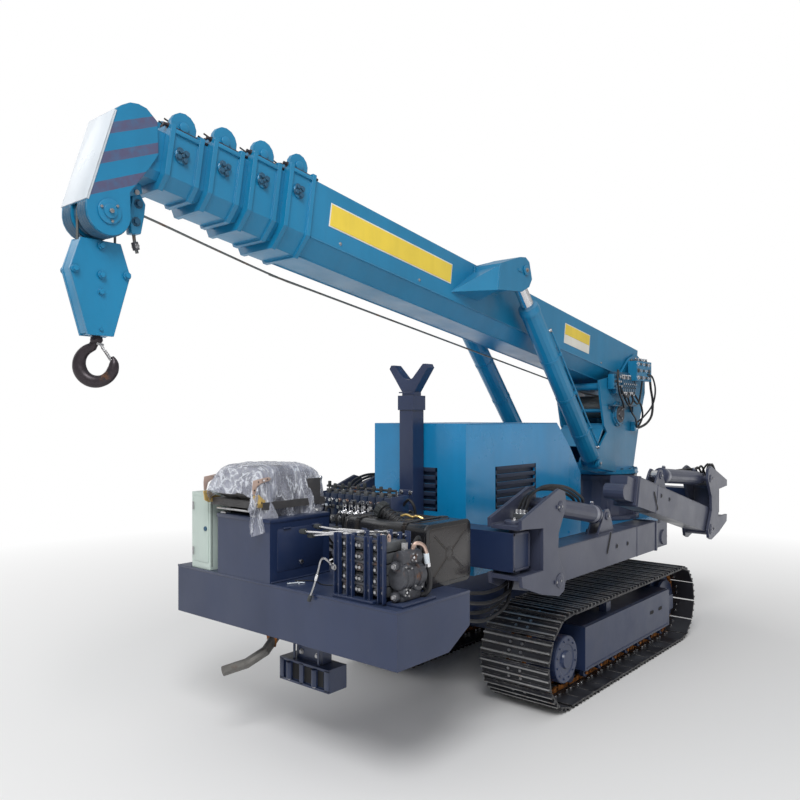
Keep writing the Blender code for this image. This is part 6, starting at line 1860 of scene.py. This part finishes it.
class CRANE_OT_deck(bpy.types.Operator):
    """Trim the deck, seat box and cabinet, and make the lever stand, motor, tank and valve bank"""
    bl_idname = "crane.deck"
    bl_label = "Front Deck"

    def execute(self, context):
        radius = context.scene.crane_sizes.hose
        build_deck_trims()
        build_cabinet_trims()
        build_lever_stand()
        build_motor(radius)
        build_tank()
        build_valve_bank(radius)
        build_tow_fittings()
        build_exhaust_fittings()
        build_deck_hoses(radius)
        return {"FINISHED"}


def build_louvres():
    """Dark bands with slots between them on the cover's sides and front, and painted shade behind the slots."""
    piece = Piece("cover_louvres")
    first, pitch, slot, front, face = 1.075, 0.045, 0.022, -0.5093, 0.329
    low, high = first - 0.015, first + pitch * 5
    bands = [(low, first)] + [(first + slot + pitch * step, first + pitch * (step + 1)) for step in range(5)]
    outer = (front - 0.0025, front)
    for z in bands:
        for side in SIDES:
            skin = (side * face, side * (face + 0.0025))
            piece.add("dark_panel_and_painted_shade", block(skin, (-0.2213, 0.2227), z, 0.0008))
        piece.add("dark_panel_and_painted_shade", block((-0.012, 0.137), outer, z, 0.0008))
    for side in SIDES:
        for y in ((-0.2213, -0.2093), (0.2107, 0.2227)):
            piece.add("dark_panel_and_painted_shade", block((side * face, side * (face + 0.0025)), y, (low, high), 0.0008))
        # a near-black sheet behind each side's slots: painted shade inside the cover
        behind = (side * (face - 0.022), side * (face - 0.018))
        piece.add("dark_panel_and_painted_shade", block(behind, (-0.225, 0.225), (low, high)))
    for x in ((-0.012, 0.0), (0.125, 0.137)):
        piece.add("dark_panel_and_painted_shade", block(x, outer, (low, high), 0.0008))
    # the same painted shade behind the front slots
    piece.add("dark_panel_and_painted_shade", block((-0.015, 0.14), (front + 0.018, front + 0.022), (low, high)))
    piece.done("machine", "cover_paint")


def build_cover_trims():
    """A row of bolts along each foot of the cover and a seam under its top."""
    trims, low = Piece("cover_trims"), Box("engine_cover").z0 + 0.03
    for side in SIDES:
        for index in range(6):
            trims.add("cover", nut((side * 0.329, -0.45 + index * 0.22, low), (side, 0, 0), 0.008))
        trims.add("cover", hose([(side * 0.3292, -0.5, 1.5435), (side * 0.3292, 0.48, 1.5435)], 0.0022, 6, 1))
    trims.done("machine", "cover_paint")


def build_boom_rest():
    """Bolted plates on the boom rest's post and the weld under its top."""
    rest, post = Piece("boom_rest_fittings"), -0.5668
    for z in (1.07, 1.15):
        rest.add("deck", block((-0.05, 0.05), (post - 0.0505, post - 0.0475), (z - 0.03, z + 0.03), 0.0008))
    for x in (-0.032, 0.032):
        for z in (1.056, 1.164):
            rest.add("steel", bolt((x, post - 0.0505, z), FRONTWARD, 0.009))
    rest.add("deck", weld((-0.049, post - 0.049, 1.717), (0.049, post - 0.049, 1.717)))
    rest.done("machine", "navy_paint")


class CRANE_OT_cover(bpy.types.Operator):
    """Fit louvres to the engine cover and plates and bolts to the boom rest"""
    bl_idname = "crane.cover"
    bl_label = "Engine Cover"

    def execute(self, context):
        build_louvres()
        build_cover_trims()
        build_boom_rest()
        return {"FINISHED"}


# ====================================================================== stage
WHITE = (1.0, 1.0, 1.0, 1.0)
CAMERA_PLACE, CAMERA_TURN = (2.679, -3.8293, 1.58), (90.0, 0.0, 40.27)      # the turn is in degrees
CAMERA_LENS, CAMERA_SHIFT = 34.03, 0.0215
# each light's name, place, target, size and power
LIGHTS = (("key", (3.4, -5.2, 6.4), (0.0, -0.3, 0.9), 3.2, 300.0),
          ("fill", (-5.5, -3.0, 4.2), (0.0, -0.2, 1.0), 4.5, 60.0))


def build_sky(scene):
    """Even white to the eye and in mirrors, and a softer light from all round."""
    scene.world = bpy.data.worlds.new("studio")
    scene.world.use_nodes = True
    scene.world.node_tree.nodes.clear()
    shade = Shading(scene.world.node_tree)
    up = shade.node("SeparateXYZ", {0: shade.node("TexCoord", {})["Generated"]})["Z"]
    power = shade.times(shade.ramp(up, -0.25, 0.75, 0.45, 1.0), 0.62)
    dim, white = (shade.node("Background", {"Color": WHITE, "Strength": value})[0] for value in (power, 1.0))
    seen = shade.node("LightPath", {})["Is Camera Ray"]
    shade.node("OutputWorld", {"Surface": shade.node("MixShader", {0: seen, 1: dim, 2: white})[0]})


def floor_finish():
    """Plain pale floor near the crane, plain white far from it, seen in one run."""
    made, shade, inputs = new_finish("floor")
    shade.feed(inputs, {"Base Color": (0.88, 0.88, 0.88, 1.0), "Roughness": 0.95, "Specular IOR Level": 0.1})
    away = shade.node("VectorMath", {0: shade.place()}, operation="LENGTH")["Value"]
    path = shade.node("LightPath", {})
    mirrored = shade.maths("MAXIMUM", path["Is Glossy Ray"], path["Is Transmission Ray"])
    seen = shade.maths("MAXIMUM", path["Is Camera Ray"], mirrored)
    glow = shade.node("Emission", {"Color": WHITE, "Strength": 1.0})[0]
    nodes = made.node_tree.nodes
    both = shade.node("MixShader", {0: shade.times(shade.ramp(away, 2.4, 7.0), seen),
                                    1: nodes["Principled BSDF"].outputs[0], 2: glow})[0]
    shade.feed(nodes["Material Output"].inputs, {"Surface": both})
    return made


class CRANE_OT_stage(bpy.types.Operator):
    """Set the pale floor, the studio light and the camera"""
    bl_idname = "crane.stage"
    bl_label = "Stage"

    def execute(self, context):
        scene = context.scene
        if "floor" in bpy.data.objects:
            raise RuntimeError("the stage is already set")
        shape = bmesh.new()
        bmesh.ops.create_circle(shape, cap_ends=True, segments=96, radius=150.0)
        floor = linked("floor", shape)
        floor.data.materials.append(floor_finish())
        for name, place, target, size, power in LIGHTS:
            light = bpy.data.objects.new(name, bpy.data.lights.new(name, "AREA"))
            light.data.shape, light.data.size, light.data.energy = "DISK", size, power
            light.location = place
            light.rotation_euler = (Vector(target) - Vector(place)).to_track_quat("-Z", "Y").to_euler()
            scene.collection.objects.link(light)
        build_sky(scene)
        lens = bpy.data.cameras.new("camera")
        lens.lens, lens.sensor_width, lens.shift_y = CAMERA_LENS, 36.0, CAMERA_SHIFT
        camera = bpy.data.objects.new("camera", lens)
        camera.location = CAMERA_PLACE
        camera.rotation_euler = [radians(angle) for angle in CAMERA_TURN]
        scene.collection.objects.link(camera)
        scene.camera = camera
        scene.view_settings.view_transform = "Standard"
        return {"FINISHED"}


class VIEW3D_PT_crane(bpy.types.Panel):
    """Crane groups in the sidebar"""
    bl_label = "Spider Crane"
    bl_idname = "VIEW3D_PT_crane"
    bl_space_type = "VIEW_3D"
    bl_region_type = "UI"
    bl_category = "Crane"

    def draw(self, context):
        for title, group in (("Paints", context.scene.crane_paints), ("Sizes", context.scene.crane_sizes)):
            column = self.layout.box().column()
            column.label(text=title)
            for name in group.bl_rna.properties.keys():
                if name not in ("rna_type", "name"):
                    column.prop(group, name)
        column = self.layout.column(align=True)
        for operator in OPERATORS:
            column.operator(operator.bl_idname)


OPERATORS = (CRANE_OT_finishes, CRANE_OT_tracks, CRANE_OT_collars, CRANE_OT_signs, CRANE_OT_head,
             CRANE_OT_hook, CRANE_OT_rope, CRANE_OT_column, CRANE_OT_outriggers, CRANE_OT_running_gear,
             CRANE_OT_seat, CRANE_OT_deck, CRANE_OT_cover, CRANE_OT_stage)
CLASSES = (CranePaints, CraneSizes, *OPERATORS, VIEW3D_PT_crane)


def register():
    for kind in CLASSES:
        bpy.utils.register_class(kind)
    bpy.types.Scene.crane_paints = PointerProperty(type=CranePaints)
    bpy.types.Scene.crane_sizes = PointerProperty(type=CraneSizes)


def unregister():
    del bpy.types.Scene.crane_sizes
    del bpy.types.Scene.crane_paints
    for kind in reversed(CLASSES):
        bpy.utils.unregister_class(kind)


def main():
    register()
    for operator in OPERATORS:
        group, name = operator.bl_idname.split(".")
        getattr(getattr(bpy.ops, group), name)()


if __name__ == "__main__":
    main()
